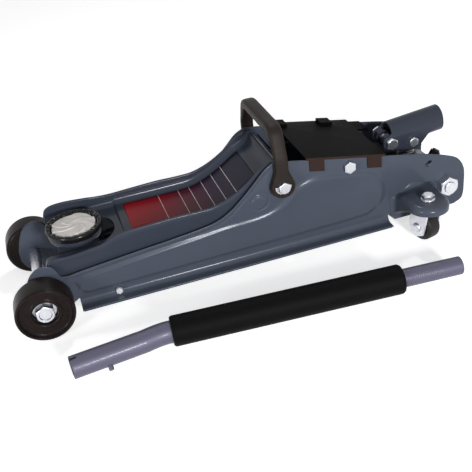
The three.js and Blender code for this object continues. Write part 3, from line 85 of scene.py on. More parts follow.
def camera(azimuth, elevation, roll, aim, distance, lens):
    """Back direction from azimuth and elevation; the picture turns about it by the roll."""
    a, e = math.radians(azimuth), math.radians(elevation)
    back = Vector((math.sin(a) * math.cos(e), -math.cos(a) * math.cos(e), math.sin(e)))
    turn = (-back).to_track_quat("-Z", "Y").to_matrix().to_4x4()
    turn = turn @ Matrix.Rotation(math.radians(roll), 4, "Z")
    data = bpy.data.cameras.new("camera")
    data.lens = lens
    data.sensor_width = 36
    data.clip_start = 0.05
    data.clip_end = 20
    made = linked("camera", data)
    made.matrix_world = Matrix.Translation(aim + back * distance) @ turn
    bpy.context.scene.camera = made
    return made


FLOOR_BELOW_AXLE = Vector((axle.x, axle.y, 0))
AIM = FLOOR_BELOW_AXLE + Vector((221.54, -70.25, 60)) * MM
view = camera(-13.82, 32.47, -7.28, AIM, 862.33 * MM, 58.748)
print("camera at", tuple(round(v, 3) for v in view.matrix_world.translation))


# %% [markdown]
# ## Floor and light
# Painted steel shows its bends only through what it reflects, so the studio is a plain pale
# room with three soft lamps: a key in front for the side of the frame, a weaker one on the
# left, and one behind and above whose reflection draws the rolled edges. The room is white to
# the camera and in reflections, but sends surfaces only a fifth of that light, so that the
# lamps decide where the steel is bright and where it falls dark.

# %% Studio
GATHERED_LIGHT = 0.22

scene = bpy.context.scene
scene.view_settings.view_transform = "Standard"
world = bpy.data.worlds.new("studio")
world.use_nodes = True
scene.world = world
tree = world.node_tree
sky = tree.nodes["Background"]
sky.inputs["Color"].default_value = (1, 1, 1, 1)


def seen_directly(tree):
    """1 for camera, mirror and glass rays, 0 for the light that a surface gathers."""
    path = tree.nodes.new("ShaderNodeLightPath")
    total = path.outputs["Is Camera Ray"]
    for ray in ("Is Glossy Ray", "Is Transmission Ray"):
        add = tree.nodes.new("ShaderNodeMath")
        add.use_clamp = True
        tree.links.new(total, add.inputs[0])
        tree.links.new(path.outputs[ray], add.inputs[1])
        total = add.outputs[0]
    return total


level = tree.nodes.new("ShaderNodeMapRange")
level.inputs["To Min"].default_value = GATHERED_LIGHT
level.inputs["To Max"].default_value = 1.0
tree.links.new(seen_directly(tree), level.inputs["Value"])
tree.links.new(level.outputs["Result"], sky.inputs["Strength"])


def lamp(name, place, aim, size, watts):
    """A square soft box at a place, facing a point."""
    data = bpy.data.lights.new(name, "AREA")
    data.shape = "SQUARE"
    data.size = size
    data.energy = watts
    made = linked(name, data)
    made.matrix_world = Matrix.Translation(place) @ (
        (Vector(aim) - Vector(place)).to_track_quat("-Z", "Y").to_matrix().to_4x4())
    return made


lamp("key_softbox", AIM + Vector((0.16, -1.38, 0.45)), AIM, 0.24, 19)
lamp("left_softbox", AIM + Vector((-1.30, -0.80, 0.35)), AIM, 0.30, 9)
lamp("rim_softbox", AIM + Vector((0.32, 0.75, 1.20)), AIM, 0.10, 3.6)


# %% [markdown]
# ## Surfaces from formulas
# A jack is made of sheet, tube and turned parts. Each of these is a surface: a function of two
# parameters worked out on a grid, or a profile turned about an axle or carried along a path.
# They could be pulled into shape from primitives by hand, but a formula keeps a radius or a
# wall the same all along an edge. One helper turns any grid of points into a mesh.

# %% Mesh helpers
def mesh_object(name, points, faces, facing=None, fill=False):
    """A smooth mesh object from arrays of points and quads. Doubles merge and faces turn out;
    fill closes open ends with a face each, and an open sheet is turned to face a direction."""
    mesh = bpy.data.meshes.new(name)
    mesh.from_pydata(np.reshape(points, (-1, 3)).tolist(), [], np.asarray(faces).tolist())
    tidy = bmesh.new()
    tidy.from_mesh(mesh)
    bmesh.ops.remove_doubles(tidy, verts=tidy.verts, dist=2e-6)
    bmesh.ops.dissolve_degenerate(tidy, edges=tidy.edges, dist=1e-7)
    if fill:
        bmesh.ops.holes_fill(tidy, edges=[e for e in tidy.edges if e.is_boundary], sides=0)
    bmesh.ops.recalc_face_normals(tidy, faces=tidy.faces)
    tidy.to_mesh(mesh)
    tidy.free()
    if facing is not None:
        normals = np.zeros(len(mesh.polygons) * 3)
        mesh.polygons.foreach_get("normal", normals)
        if normals.reshape(-1, 3).sum(0) @ np.asarray(facing, float) < 0:
            mesh.flip_normals()
    mesh.shade_smooth()
    return linked(name, mesh)


def quads(rows, columns, wrap_rows=False, wrap_columns=False):
    """Four corners of every cell in a grid of points, closing either way round if asked."""
    index = np.arange(rows * columns).reshape(rows, columns)
    if wrap_rows:
        index = np.vstack([index, index[:1]])
    if wrap_columns:
        index = np.hstack([index, index[:, :1]])
    corners = [index[:-1, :-1], index[1:, :-1], index[1:, 1:], index[:-1, 1:]]
    return np.stack(corners, -1).reshape(-1, 4)


def to_world(points):
    """Millimetres from the floor under the front axle to the frame's metres."""
    return np.asarray(points, float) * MM + np.array(FLOOR_BELOW_AXLE)


def eased(outline, radius, steps=5):
    """Rounds each corner of a closed outline by a quadratic Bezier curve that starts and ends
    a radius away from it, or at most 0.45 of the side."""
    p = np.asarray(outline, float)
    before, after = np.roll(p, 1, axis=0) - p, np.roll(p, -1, axis=0) - p

    def reach(side):
        length = np.maximum(np.linalg.norm(side, axis=1), 1e-9)
        return side * np.minimum(np.asarray(radius) / length, 0.45)[:, None]

    t = np.linspace(0, 1, steps)[None, :, None]
    start, end = (p + reach(before))[:, None], (p + reach(after))[:, None]
    return ((1 - t) ** 2 * start + 2 * t * (1 - t) * p[:, None] + t ** 2 * end).reshape(-1, 2)


def turned(name, profile, place, axis, sides=96, closed=True):
    """A (radius, height) profile turned about an axis through a place, in millimetres."""
    profile = np.asarray(profile, float)
    angle = np.linspace(0, 2 * np.pi, sides, endpoint=False)[:, None]
    radius = profile[None, :, 0]
    height = np.broadcast_to(profile[None, :, 1], (sides, len(profile)))
    local = np.stack([radius * np.cos(angle), radius * np.sin(angle), height], -1)
    turn = np.array(Vector(axis).to_track_quat("Z", "Y").to_matrix())
    points = to_world(local @ turn.T + np.array(place, float))
    return mesh_object(name, points, quads(sides, len(profile), True, closed))


def ring_section(width, height, power, around=40):
    """A superellipse: cosine and sine raised to a power below 1 give a rounded rectangle."""
    t = np.linspace(0, 2 * np.pi, around, endpoint=False)
    c, s = np.cos(t), np.sin(t)
    width, height, power = (np.atleast_1d(v).astype(float)[:, None] for v in
                            (width, height, power))
    return np.stack([np.sign(c) * np.abs(c) ** power * width / 2,
                     np.sign(s) * np.abs(s) ** power * height / 2], -1)


def carried(path, section, side):
    """Points of a section carried along a path: it stands across the path, its first axis
    as near to the side direction as it can."""
    path = np.asarray(path, float)
    run = np.gradient(path, axis=0)
    run /= np.linalg.norm(run, axis=1, keepdims=True)
    first = np.broadcast_to(np.asarray(side, float), run.shape)
    first = first - (first * run).sum(1, keepdims=True) * run
    first = first / np.linalg.norm(first, axis=1, keepdims=True)
    second = np.cross(run, first)
    section = np.broadcast_to(section, (len(path),) + np.shape(section)[-2:])
    return (path[:, None] + section[..., :1] * first[:, None]
            + section[..., 1:] * second[:, None])


def swept(name, path, section, side):
    """A closed section carried along an open path, with both ends filled."""
    points = carried(path, section, side)
    return mesh_object(name, to_world(points), quads(*points.shape[:2], False, True), fill=True)


def slab(name, outline, y0, y1, edge):
    """An (x, z) outline given a thickness in y; its rims turn in by a quarter circle."""
    p = np.asarray(outline, float)
    run = np.roll(p, -1, axis=0) - np.roll(p, 1, axis=0)
    run /= np.linalg.norm(run, axis=1, keepdims=True)
    area = (p[:, 0] * np.roll(p[:, 1], -1) - np.roll(p[:, 0], -1) * p[:, 1]).sum()
    inward = np.stack([-run[:, 1], run[:, 0]], -1) * np.sign(area)
    turn = np.linspace(0, np.pi / 2, 4)
    inset = edge * (1 - np.sin(turn))
    depth = edge * (1 - np.cos(turn))
    low, high = min(y0, y1), max(y0, y1)
    insets = np.concatenate([inset, inset[::-1]])
    heights = np.concatenate([low + depth, (high - depth)[::-1]])
    flat = p[None] + inward[None] * insets[:, None, None]
    y = np.broadcast_to(heights[:, None], flat.shape[:2])
    points = np.stack([flat[..., 0], y, flat[..., 1]], -1)
    return mesh_object(name, to_world(points), quads(*points.shape[:2], False, True), fill=True)


def joined(name, pieces):
    """Several closed shells as one object."""
    tidy = bmesh.new()
    for piece in pieces:
        tidy.from_mesh(piece.data)
        bpy.data.objects.remove(piece)
    mesh = bpy.data.meshes.new(name)
    tidy.to_mesh(mesh)
    tidy.free()
    mesh.shade_smooth()
    return linked(name, mesh)


# %% [markdown]
# ## Shader groups
# Paint over pressed steel is never a mirror: it has a faint orange peel, and its colour and
# gloss drift a little in soft clouds. Zinc plating is cloudy. Every material could have noise
# nodes of its own. One node group with sockets for colours, roughness and grain keeps the
# finishes alike in build and different only in their values.

# %% Groups
def new_group(name, inputs, outputs):
    """An empty shader group with named sockets."""
    group = bpy.data.node_groups.new(name, "ShaderNodeTree")
    for label, value in inputs:
        kind = "NodeSocketColor" if isinstance(value, tuple) else "NodeSocketFloat"
        socket = group.interface.new_socket(label, in_out="INPUT", socket_type=kind)
        socket.default_value = value
    for label, kind in outputs:
        group.interface.new_socket(label, in_out="OUTPUT", socket_type=kind)
    return group, group.nodes.new("NodeGroupInput"), group.nodes.new("NodeGroupOutput")


def noise(tree, vector, scale_socket=None, scale=100.0, detail=2.0):
    """A noise texture on given coordinates."""
    made = tree.nodes.new("ShaderNodeTexNoise")
    made.inputs["Scale"].default_value = scale
    made.inputs["Detail"].default_value = detail
    tree.links.new(vector, made.inputs["Vector"])
    if scale_socket is not None:
        tree.links.new(scale_socket, made.inputs["Scale"])
    return made


def surface_group():
    """Colour clouding, roughness clouding and a fine height, all from Object coordinates."""
    group, taken, given = new_group(
        "finish_variation",
        [("Colour", (0.5, 0.5, 0.5, 1)), ("Second Colour", (0.5, 0.5, 0.5, 1)),
         ("Cloud Scale", 30.0), ("Roughness", 0.4), ("Roughness Spread", 0.1),
         ("Grain Scale", 900.0)],
        [("Colour", "NodeSocketColor"), ("Roughness", "NodeSocketFloat"),
         ("Height", "NodeSocketFloat")])
    place = group.nodes.new("ShaderNodeTexCoord").outputs["Object"]
    cloud = noise(group, place, taken.outputs["Cloud Scale"], detail=4.0)
    grain = noise(group, place, taken.outputs["Grain Scale"], detail=2.0)
    mix = group.nodes.new("ShaderNodeMix")
    mix.data_type = "RGBA"
    group.links.new(cloud.outputs["Fac"], mix.inputs["Factor"])
    group.links.new(taken.outputs["Colour"], mix.inputs[6])
    group.links.new(taken.outputs["Second Colour"], mix.inputs[7])
    spread = group.nodes.new("ShaderNodeMath")
    spread.operation = "MULTIPLY_ADD"
    group.links.new(cloud.outputs["Fac"], spread.inputs[0])
    group.links.new(taken.outputs["Roughness Spread"], spread.inputs[1])
    group.links.new(taken.outputs["Roughness"], spread.inputs[2])
    group.links.new(mix.outputs[2], given.inputs["Colour"])
    group.links.new(spread.outputs[0], given.inputs["Roughness"])
    group.links.new(grain.outputs["Fac"], given.inputs["Height"])
    return group


VARIATION = surface_group()
print("finish sockets:", [item.name for item in VARIATION.interface.items_tree])


# %% [markdown]
# ## Finishes
# The frame is sprayed in a dark slate blue. The arm, the handle socket and the saddle cup wear
# the same paint made darker, as painted shade.
# Nuts and bolts are zinc-plated, and the stamped forks a duller grey. Rollers are enamelled
# black, and the casters are hard rubber. Cover and carry handle are moulded plastic, the bar is
# powder-coated with a foam grip. Coat and specular stay low, because thick workshop paint
# mirrors little of a white room.

# %% Materials
COAT_ROUGHNESS, GRAIN_DEPTH = 0.12, 0.0004


def finish(name, colour, second, cloud, roughness, spread, grain, bump, metallic=0.0, coat=0.0,
           specular=0.5):
    """A Principled material fed by the variation group."""
    made = bpy.data.materials.new(name)
    made.use_nodes = True
    tree = made.node_tree
    shader = tree.nodes["Principled BSDF"]
    for label, value in (("Metallic", metallic), ("Coat Weight", coat),
                         ("Coat Roughness", COAT_ROUGHNESS), ("Specular IOR Level", specular)):
        shader.inputs[label].default_value = value
    vary = tree.nodes.new("ShaderNodeGroup")
    vary.node_tree = VARIATION
    for label, value in (("Colour", (*colour, 1)), ("Second Colour", (*second, 1)),
                         ("Cloud Scale", cloud), ("Roughness", roughness),
                         ("Roughness Spread", spread), ("Grain Scale", grain)):
        vary.inputs[label].default_value = value
    lift = tree.nodes.new("ShaderNodeBump")
    lift.inputs["Strength"].default_value = bump
    lift.inputs["Distance"].default_value = GRAIN_DEPTH
    tree.links.new(vary.outputs["Colour"], shader.inputs["Base Color"])
    tree.links.new(vary.outputs["Roughness"], shader.inputs["Roughness"])
    tree.links.new(vary.outputs["Height"], lift.inputs["Height"])
    tree.links.new(lift.outputs["Normal"], shader.inputs["Normal"])
    return made


PAINT = finish("slate_paint", (0.053, 0.063, 0.085), (0.062, 0.073, 0.098), 25, 0.20, 0.08, 1500,
               0.04, metallic=0.04, coat=0.08, specular=0.08)
# The frame's own slate paint made darker: painted shade for the arm, the handle socket and the
# saddle cup.
SHADED_SLATE_PAINT = finish("slate_paint_painted_shade", (0.030, 0.036, 0.052), (0.036, 0.043, 0.061), 25, 0.18,
                   0.08, 1500, 0.04, metallic=0.04, coat=0.10, specular=0.08)
DARK_PAINT = finish("dark_slate_paint", (0.030, 0.034, 0.050), (0.038, 0.043, 0.060), 25, 0.26,
                    0.10, 1500, 0.05, metallic=0.05, coat=0.06, specular=0.06)
ZINC = finish("zinc_plate", (0.74, 0.75, 0.79), (0.52, 0.53, 0.57), 160, 0.20, 0.2, 2500, 0.12,
              metallic=1.0)
PALE_ZINC = finish("pale_zinc", (0.80, 0.81, 0.86), (0.66, 0.67, 0.72), 160, 0.34, 0.2, 2500, 0.12,
                   metallic=0.6)
ROLLER = finish("roller_enamel", (0.005, 0.0035, 0.004), (0.016, 0.010, 0.009), 240, 0.22, 0.2,
                1200, 0.08, coat=0.04, specular=0.06)
TREAD = finish("caster_rubber", (0.012, 0.010, 0.010), (0.024, 0.020, 0.020), 90, 0.36, 0.2, 1200,
               0.2, specular=0.15)
BLACK_STEEL = finish("black_steel", (0.010, 0.010, 0.012), (0.018, 0.017, 0.018), 80, 0.28, 0.15,
                     1200, 0.1, metallic=0.3, specular=0.15)
COVER = finish("cover_plastic", (0.0020, 0.0021, 0.0022), (0.0042, 0.0042, 0.0038), 50, 0.38, 0.12,
               1800, 0.25, specular=0.012)
TAB = finish("tab_plastic", (0.034, 0.020, 0.017), (0.024, 0.014, 0.012), 60, 0.38, 0.12, 1800,
             0.25, specular=0.06)
CARRY = finish("carry_plastic", (0.026, 0.020, 0.017), (0.017, 0.013, 0.012), 40, 0.36, 0.12,
               1400, 0.3, specular=0.07)
TUBE = finish("tube_powder_coat", (0.092, 0.088, 0.132), (0.072, 0.068, 0.106), 35, 0.38, 0.12,
              2200, 0.3, metallic=0.2, coat=0.08, specular=0.3)
FOAM = finish("foam_rubber", (0.002, 0.002, 0.002), (0.0045, 0.0045, 0.0045), 300, 0.42, 0.15,
              3000, 0.4, specular=0.035)
PAD = finish("pad_rubber", (0.80, 0.77, 0.74), (0.50, 0.47, 0.45), 120, 0.6, 0.15, 900, 0.3,
             specular=0.3)
RING = finish("gloss_black_ring", (0.005, 0.005, 0.006), (0.008, 0.008, 0.009), 120, 0.14, 0.10,
              1500, 0.1, coat=0.12, specular=0.12)
SPRING = finish("spring_steel", (0.35, 0.35, 0.37), (0.22, 0.22, 0.23), 120, 0.3, 0.15, 1500,
                0.1, metallic=1.0)
print("materials:", len(bpy.data.materials))


# %% [markdown]
# ## Pieces and parts
# Every new piece stands for a part of the frame: it moves with that part's body and hides the
# part's plain solid.

# %% Placing
def wear(piece, material):
    """One material on the whole piece."""
    piece.data.materials.clear()
    piece.data.materials.append(material)


BODY_OF = {node: body for body, nodes in frame["record"]["behaviour"]["bodies"].items()
           for node in nodes}
print("moving bodies and frame:", sorted(set(BODY_OF.values())))


def place(piece, node, material):
    """The piece wears a material and stands for a part: it rides on its body and hides the
    part's solid."""
    wear(piece, material)
    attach(piece, BODY_OF[node])
    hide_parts(node)


# %% [markdown]
# ## Curves and sheets
# Pressed steel follows smooth curves between a few chosen points. A Bezier curve object could
# draw them, but its handles have to be set one by one. A Catmull-Rom curve passes through every
# point it is given, and numpy can read an edge off it as height over length.
# All lengths are in millimetres from the floor under the middle of the front axle.

# %% Curves
def through(points, per=10):
    """Catmull-Rom curve: each stretch is the cubic that keeps the slope of its neighbours."""
    p = np.asarray(points, float)
    p = np.vstack([2 * p[0] - p[1], p, 2 * p[-1] - p[-2]])
    t = np.linspace(0, 1, per, endpoint=False)[:, None]
    a, b, c, d = (p[i:len(p) - 3 + i, None] for i in range(4))
    curve = 0.5 * (2 * b + (c - a) * t + (2 * a - 5 * b + 4 * c - d) * t ** 2
                   + (3 * b - a - 3 * c + d) * t ** 3)
    return np.vstack([curve.reshape(-1, 2), p[-2]])


def edge_height(points, x):
    """Height of a smooth edge at each x."""
    curve = through(points)
    return np.interp(x, np.maximum.accumulate(curve[:, 0]), curve[:, 1])


def smoothstep(t):
    """0 below 0, 1 above 1, and 3t^2 - 2t^3 between them."""
    t = np.clip(t, 0, 1)
    return t * t * (3 - 2 * t)


def inside_distance(outline, x, z):
    """Distance from (x, z) to a closed outline, positive inside and negative outside."""
    start, end = outline, np.roll(outline, -1, axis=0)
    run = end - start
    point = np.stack([x.ravel(), z.ravel()], -1)[:, None]
    along = ((point - start) * run).sum(-1) / np.maximum((run ** 2).sum(-1), 1e-9)
    nearest = start + np.clip(along, 0, 1)[..., None] * run
    away = np.linalg.norm(point - nearest, axis=-1).min(1)
    below, above = start[:, 1] <= point[..., 1], end[:, 1] <= point[..., 1]
    rise = np.where(run[:, 1] == 0, 1e-9, run[:, 1])
    crossing = start[:, 0] + (point[..., 1] - start[:, 1]) / rise * run[:, 0]
    odd = ((below != above) & (point[..., 0] < crossing)).sum(1) % 2
    return np.where(odd == 1, away, -away).reshape(x.shape)


def sheet_metal(piece, thickness):
    """Gives an open surface its wall, inwards from its face. Cut edges are rounded by the
    surface itself, which falls back along them."""
    wall = piece.modifiers.new("wall", "SOLIDIFY")
    wall.thickness = thickness * MM
    wall.offset = -1


# %% [markdown]
# ## The side plates
# Each side of the frame is one pressing: a tall wall with an ear for the front axle, a soft
# raised panel that stiffens it, a rolled lip along the top and a foot bent outwards. As a
# function, the wall is a height field: for every x the wall runs from its lower edge to its
# upper edge, and it stands out by an amount that depends on how far a point is inside the
# panel's outline. The foot is a second grid that takes over at the wall's lower edge and runs
# round a bend and out. Edge loops pulled by hand could give the same form, but here the sheet
# keeps one thickness, and each edge stays a short list of points that is easy to change.

# %% Plate edges
PLATE_TOP = [(-18, 36), (-14, 51), (-8, 64), (0, 71.5), (8, 73.5), (16, 71.5), (21, 66),
             (23.5, 58.5), (29, 54.8), (54, 57.5), (103, 62.3), (150, 66.5), (186, 70.5),
             (207, 75), (224, 84), (240, 97.5), (254, 111), (265, 122), (274, 127.5),
             (284, 129), (336, 118.8), (388, 108.5), (440, 98.3), (470, 91.5), (497, 82.5),
             (511, 75), (519, 62), (521, 45)]
PLATE_BOTTOM_FRONT = [(-18, 36), (-17.5, 23), (-11, 11.5), (0, 8.5), (14, 10), (28, 15.5),
                      (38.7, 22)]
PANEL = [(37, 45), (56, 50.5), (99, 55.3), (137, 59), (184, 63), (215, 66.2), (245, 67),
         (266, 69.5), (283, 76.5), (297, 89), (312, 97.5), (332, 100.5), (362, 96), (392, 90.5),
         (405, 83), (413, 70), (414, 55), (409, 42), (396, 33), (370, 28.5), (215, 26.5),
         (60, 25), (46, 26.5), (39, 33)]
PLATE_FRONT, PLATE_REAR = -18.0, 521.0
OUTER_Y = 53.4
PLATE_SHEET = 3.2
CUT_ROUND = 1.0
FOOT_FRONT, FOOT_REAR = 38.7, 418.0
FOOT_TOP, FOOT_Z, FOOT_REACH, FOOT_BEND = 22.0, 15.2, 15.0, 6.8
CORNER_FRONT, CORNER_REAR, CORNER_LOW = 427.0, 508.0, 13.0
PANEL_RISE, PANEL_SLOPE = 2.0, 5.5
LIP_RISE, LIP_DEPTH = 1.1, 7.6
BOSS_X, BOSS_Z, BOSS_R, BOSS_RISE, GROOVE_R, GROOVE_DEPTH = 258.0, 85.0, 8.2, 1.3, 9.7, 1.6
SLOT = (471.0, 79.0, 5.0, 2.6, math.radians(25))


def plate_bottom(x):
    """Lower edge: the ear's curve, a straight foot line, then a step down to the rear corner."""
    low = np.where(x < FOOT_FRONT, edge_height(PLATE_BOTTOM_FRONT, x), FOOT_TOP)
    low = np.where(x > FOOT_REAR, np.interp(x, [FOOT_REAR, CORNER_FRONT],
                                            [FOOT_TOP, CORNER_LOW]), low)
    corner = [(CORNER_REAR, CORNER_LOW), (518, 18.5), (PLATE_REAR, 30)]
    return np.where(x > CORNER_REAR, edge_height(corner, x), low)


def plate_relief(x, z):
    """How far the wall stands out: a raised panel, a rolled top lip with a shallow groove under
    it, and the pivot boss in its ring groove."""
    panel = PANEL_RISE * smoothstep(inside_distance(through(PANEL, 5), x, z) / PANEL_SLOPE)
    depth = edge_height(PLATE_TOP, x) - z
    lip = LIP_RISE * (1 - smoothstep((depth - 3.2) / 1.8))
    lip = lip * smoothstep((x - 26) / 8) * (1 - smoothstep((x - 262) / 14))
    away = np.hypot(x - BOSS_X, z - BOSS_Z)
    boss = BOSS_RISE * (1 - smoothstep((away - BOSS_R) / 0.8))
    boss = boss - GROOVE_DEPTH * np.exp(-((away - GROOVE_R) / 0.8) ** 2)
    under_lip = -0.5 * np.exp(-((depth - 6.2) / 1.2) ** 2)
    under_lip = under_lip * smoothstep((x - 30) / 10) * smoothstep((250 - x) / 10)
    return panel + lip + boss + under_lip


def round_off(distance, radius):
    """How far a quarter circle falls back at a distance from the edge it rounds."""
    away = 1 - np.clip(np.asarray(distance, float) / radius, 0, 1)
    return radius * (1 - np.sqrt(np.maximum(1 - away ** 2, 0)))


def slot_scale(x, z):
    """1 on the slot's rim, less inside: the ellipse's own radius at (x, z)."""
    u, v, a, b, turn = SLOT
    c, s = math.cos(turn), math.sin(turn)
    return np.hypot(((x - u) * c + (z - v) * s) / a, ((z - v) * c - (x - u) * s) / b)


def side_plate(name, side):
    """Wall grid (x, depth below the top edge), then the foot's rows: a bend and a flat."""
    ends = np.array([0, 0.05, 0.2, 0.5, 1, 1.7, 2.6])
    near = np.array([0, 0.1, 0.3, 0.6, 1.0])
    x = np.unique(np.concatenate([
        PLATE_FRONT + ends, np.linspace(PLATE_FRONT + 3, PLATE_REAR - 3, 290),
        FOOT_FRONT + near, FOOT_REAR - near, [CORNER_FRONT],
        np.linspace(SLOT[0] - 7, SLOT[0] + 7, 29), PLATE_REAR - ends]))
    top, low = edge_height(PLATE_TOP, x), plate_bottom(x)
    lip = np.array([0, 0.1, 0.3, 0.6, 1.0, 1.8, 2.6, 3.2, 3.6, 4.0, 4.5, 5.2, 6.4,
                    LIP_DEPTH])[:, None]
    lip = lip / LIP_DEPTH * np.minimum(LIP_DEPTH, 0.4 * (top - low))
    share = np.concatenate([np.linspace(0, 0.985, 58)[1:], [0.992, 0.997, 1.0]])[:, None]
    z = top - np.vstack([lip, lip[-1] + share * (top - low - lip[-1])])
    gx = np.broadcast_to(x, z.shape)
    free = (gx < FOOT_FRONT) | (gx > FOOT_REAR)
    y = OUTER_Y + plate_relief(gx, z) - round_off(top - z, CUT_ROUND)
    y = y - np.where(free, round_off(z - low, CUT_ROUND), 0)
    y = y - round_off(PLATE_REAR - gx, CUT_ROUND)
    flat = np.stack([gx, side * y, z], -1).reshape(-1, 3)
    faces = quads(*z.shape)
    middle = flat[faces].mean(1)
    hole = slot_scale(middle[:, 0], middle[:, 2]) < 1
    rim = np.intersect1d(faces[hole], faces[~hole])
    share = slot_scale(flat[rim, 0], flat[rim, 2])
    flat[rim, 0] = SLOT[0] + (flat[rim, 0] - SLOT[0]) / share
    flat[rim, 2] = SLOT[1] + (flat[rim, 2] - SLOT[1]) / share
    foot_x = x[(x >= FOOT_FRONT) & (x <= FOOT_REAR)]
    turn = np.linspace(0, np.pi / 2, 9)[:, None]
    bend = np.hstack([OUTER_Y + FOOT_BEND * (1 - np.cos(turn)),
                      FOOT_Z + FOOT_BEND * (1 - np.sin(turn))])
    reach = OUTER_Y + FOOT_REACH - np.array([6, 4, 2, 1, 0.6, 0.3, 0.1, 0])
    flat_part = np.stack([reach, FOOT_Z - round_off(OUTER_Y + FOOT_REACH - reach, CUT_ROUND)], -1)
    profile = np.vstack([bend, flat_part])
    shape = (len(profile), len(foot_x))
    ease = round_off(foot_x - FOOT_FRONT, CUT_ROUND) + round_off(FOOT_REAR - foot_x, CUT_ROUND)
    leaning = np.sin(np.clip(np.arange(len(profile)) / 8, 0, 1) * np.pi / 2)[:, None]
    foot = np.stack([np.broadcast_to(foot_x, shape),
                     side * (profile[:, :1] - ease * (1 - leaning) + 0 * foot_x),
                     profile[:, 1:] - ease * leaning], -1)
    points = np.concatenate([flat, foot.reshape(-1, 3)])
    every = np.vstack([faces[~hole], quads(*shape) + len(flat)])
    piece = mesh_object(name, to_world(points), every, facing=(0, side, 0))
    sheet_metal(piece, PLATE_SHEET)
    return piece


# %% Plates
for side, sign in SIDES:
    plate = side_plate(side + "_plate_pressing", sign)
    place(plate, side + "_side_plate", PAINT)
    print(plate.name, len(plate.data.polygons), "faces")


# %% [markdown]
# ## The lift arm
# The arm is a pan: two tall cheeks with rolled tops and a floor between them that runs level
# and then sweeps up to the pivot. Round its section it is one closed loop, so each half is a
# loop carried along x, with heights that change as it goes. In front the floor opens round the
# saddle; there the loop turns down at the mouth's edge. The left cheek's nose is low and
# reaches far forward, and the right one's is tall and starts further back. A box with bevels
# and Boolean cuts would lose the soft sweep, which one skin of loops keeps.

# %% Arm edges
ARM_Y, ARM_WALL, ARM_END = 48.5, 3.5, 294.0
UNDER_BEND = 3.0
ARM_REAR = [(104, 88), (130, 89), (160, 90), (186, 89.5), (206, 90.5), (226, 97), (244, 107),
            (258, 117.5), (268, 124.5), (277, 127.5), (286, 126), (294, 119.5)]
ARM_FIRST = {-1: 12.0, 1: 21.0}
ARM_TOP = {-1: [(12, 65), (13.5, 70.5), (17, 74), (24, 75.5), (34, 75), (46, 75.5), (60, 77),
                (75, 79), (84, 82.5), (92, 86)] + ARM_REAR,
           1: [(21, 80), (24, 87), (32, 91), (48, 92), (70, 90.5), (88, 88.5)] + ARM_REAR}
ARM_LOW = [(12, 62), (18, 56), (24, 51.5), (30, 49), (39, 46), (44, 38.5), (52, 35), (60, 36.8),
           (70, 38), (100, 44), (200, 62), (255, 68.3), (268, 71.4), (274, 79), (276, 92),
           (285, 102), (294, 111)]
ARM_FLOOR = [(20, 75), (130, 75), (170, 75), (198, 76), (216, 81.5), (232, 89.5), (246, 98.5),
             (256, 105), (266, 110), (273, 113.5), (277, 118), (281, 123), (286, 124.3),
             (294, 118)]
MOUTH_HALF, MOUTH_REAR = 34.5, 97.0


def mouth_edge(x):
    """Half width of the opening: parallel sides that end in a half circle."""
    past = np.maximum(x - (MOUTH_REAR - MOUTH_HALF), 0)
    return np.sqrt(np.maximum(MOUTH_HALF ** 2 - past ** 2, 0))


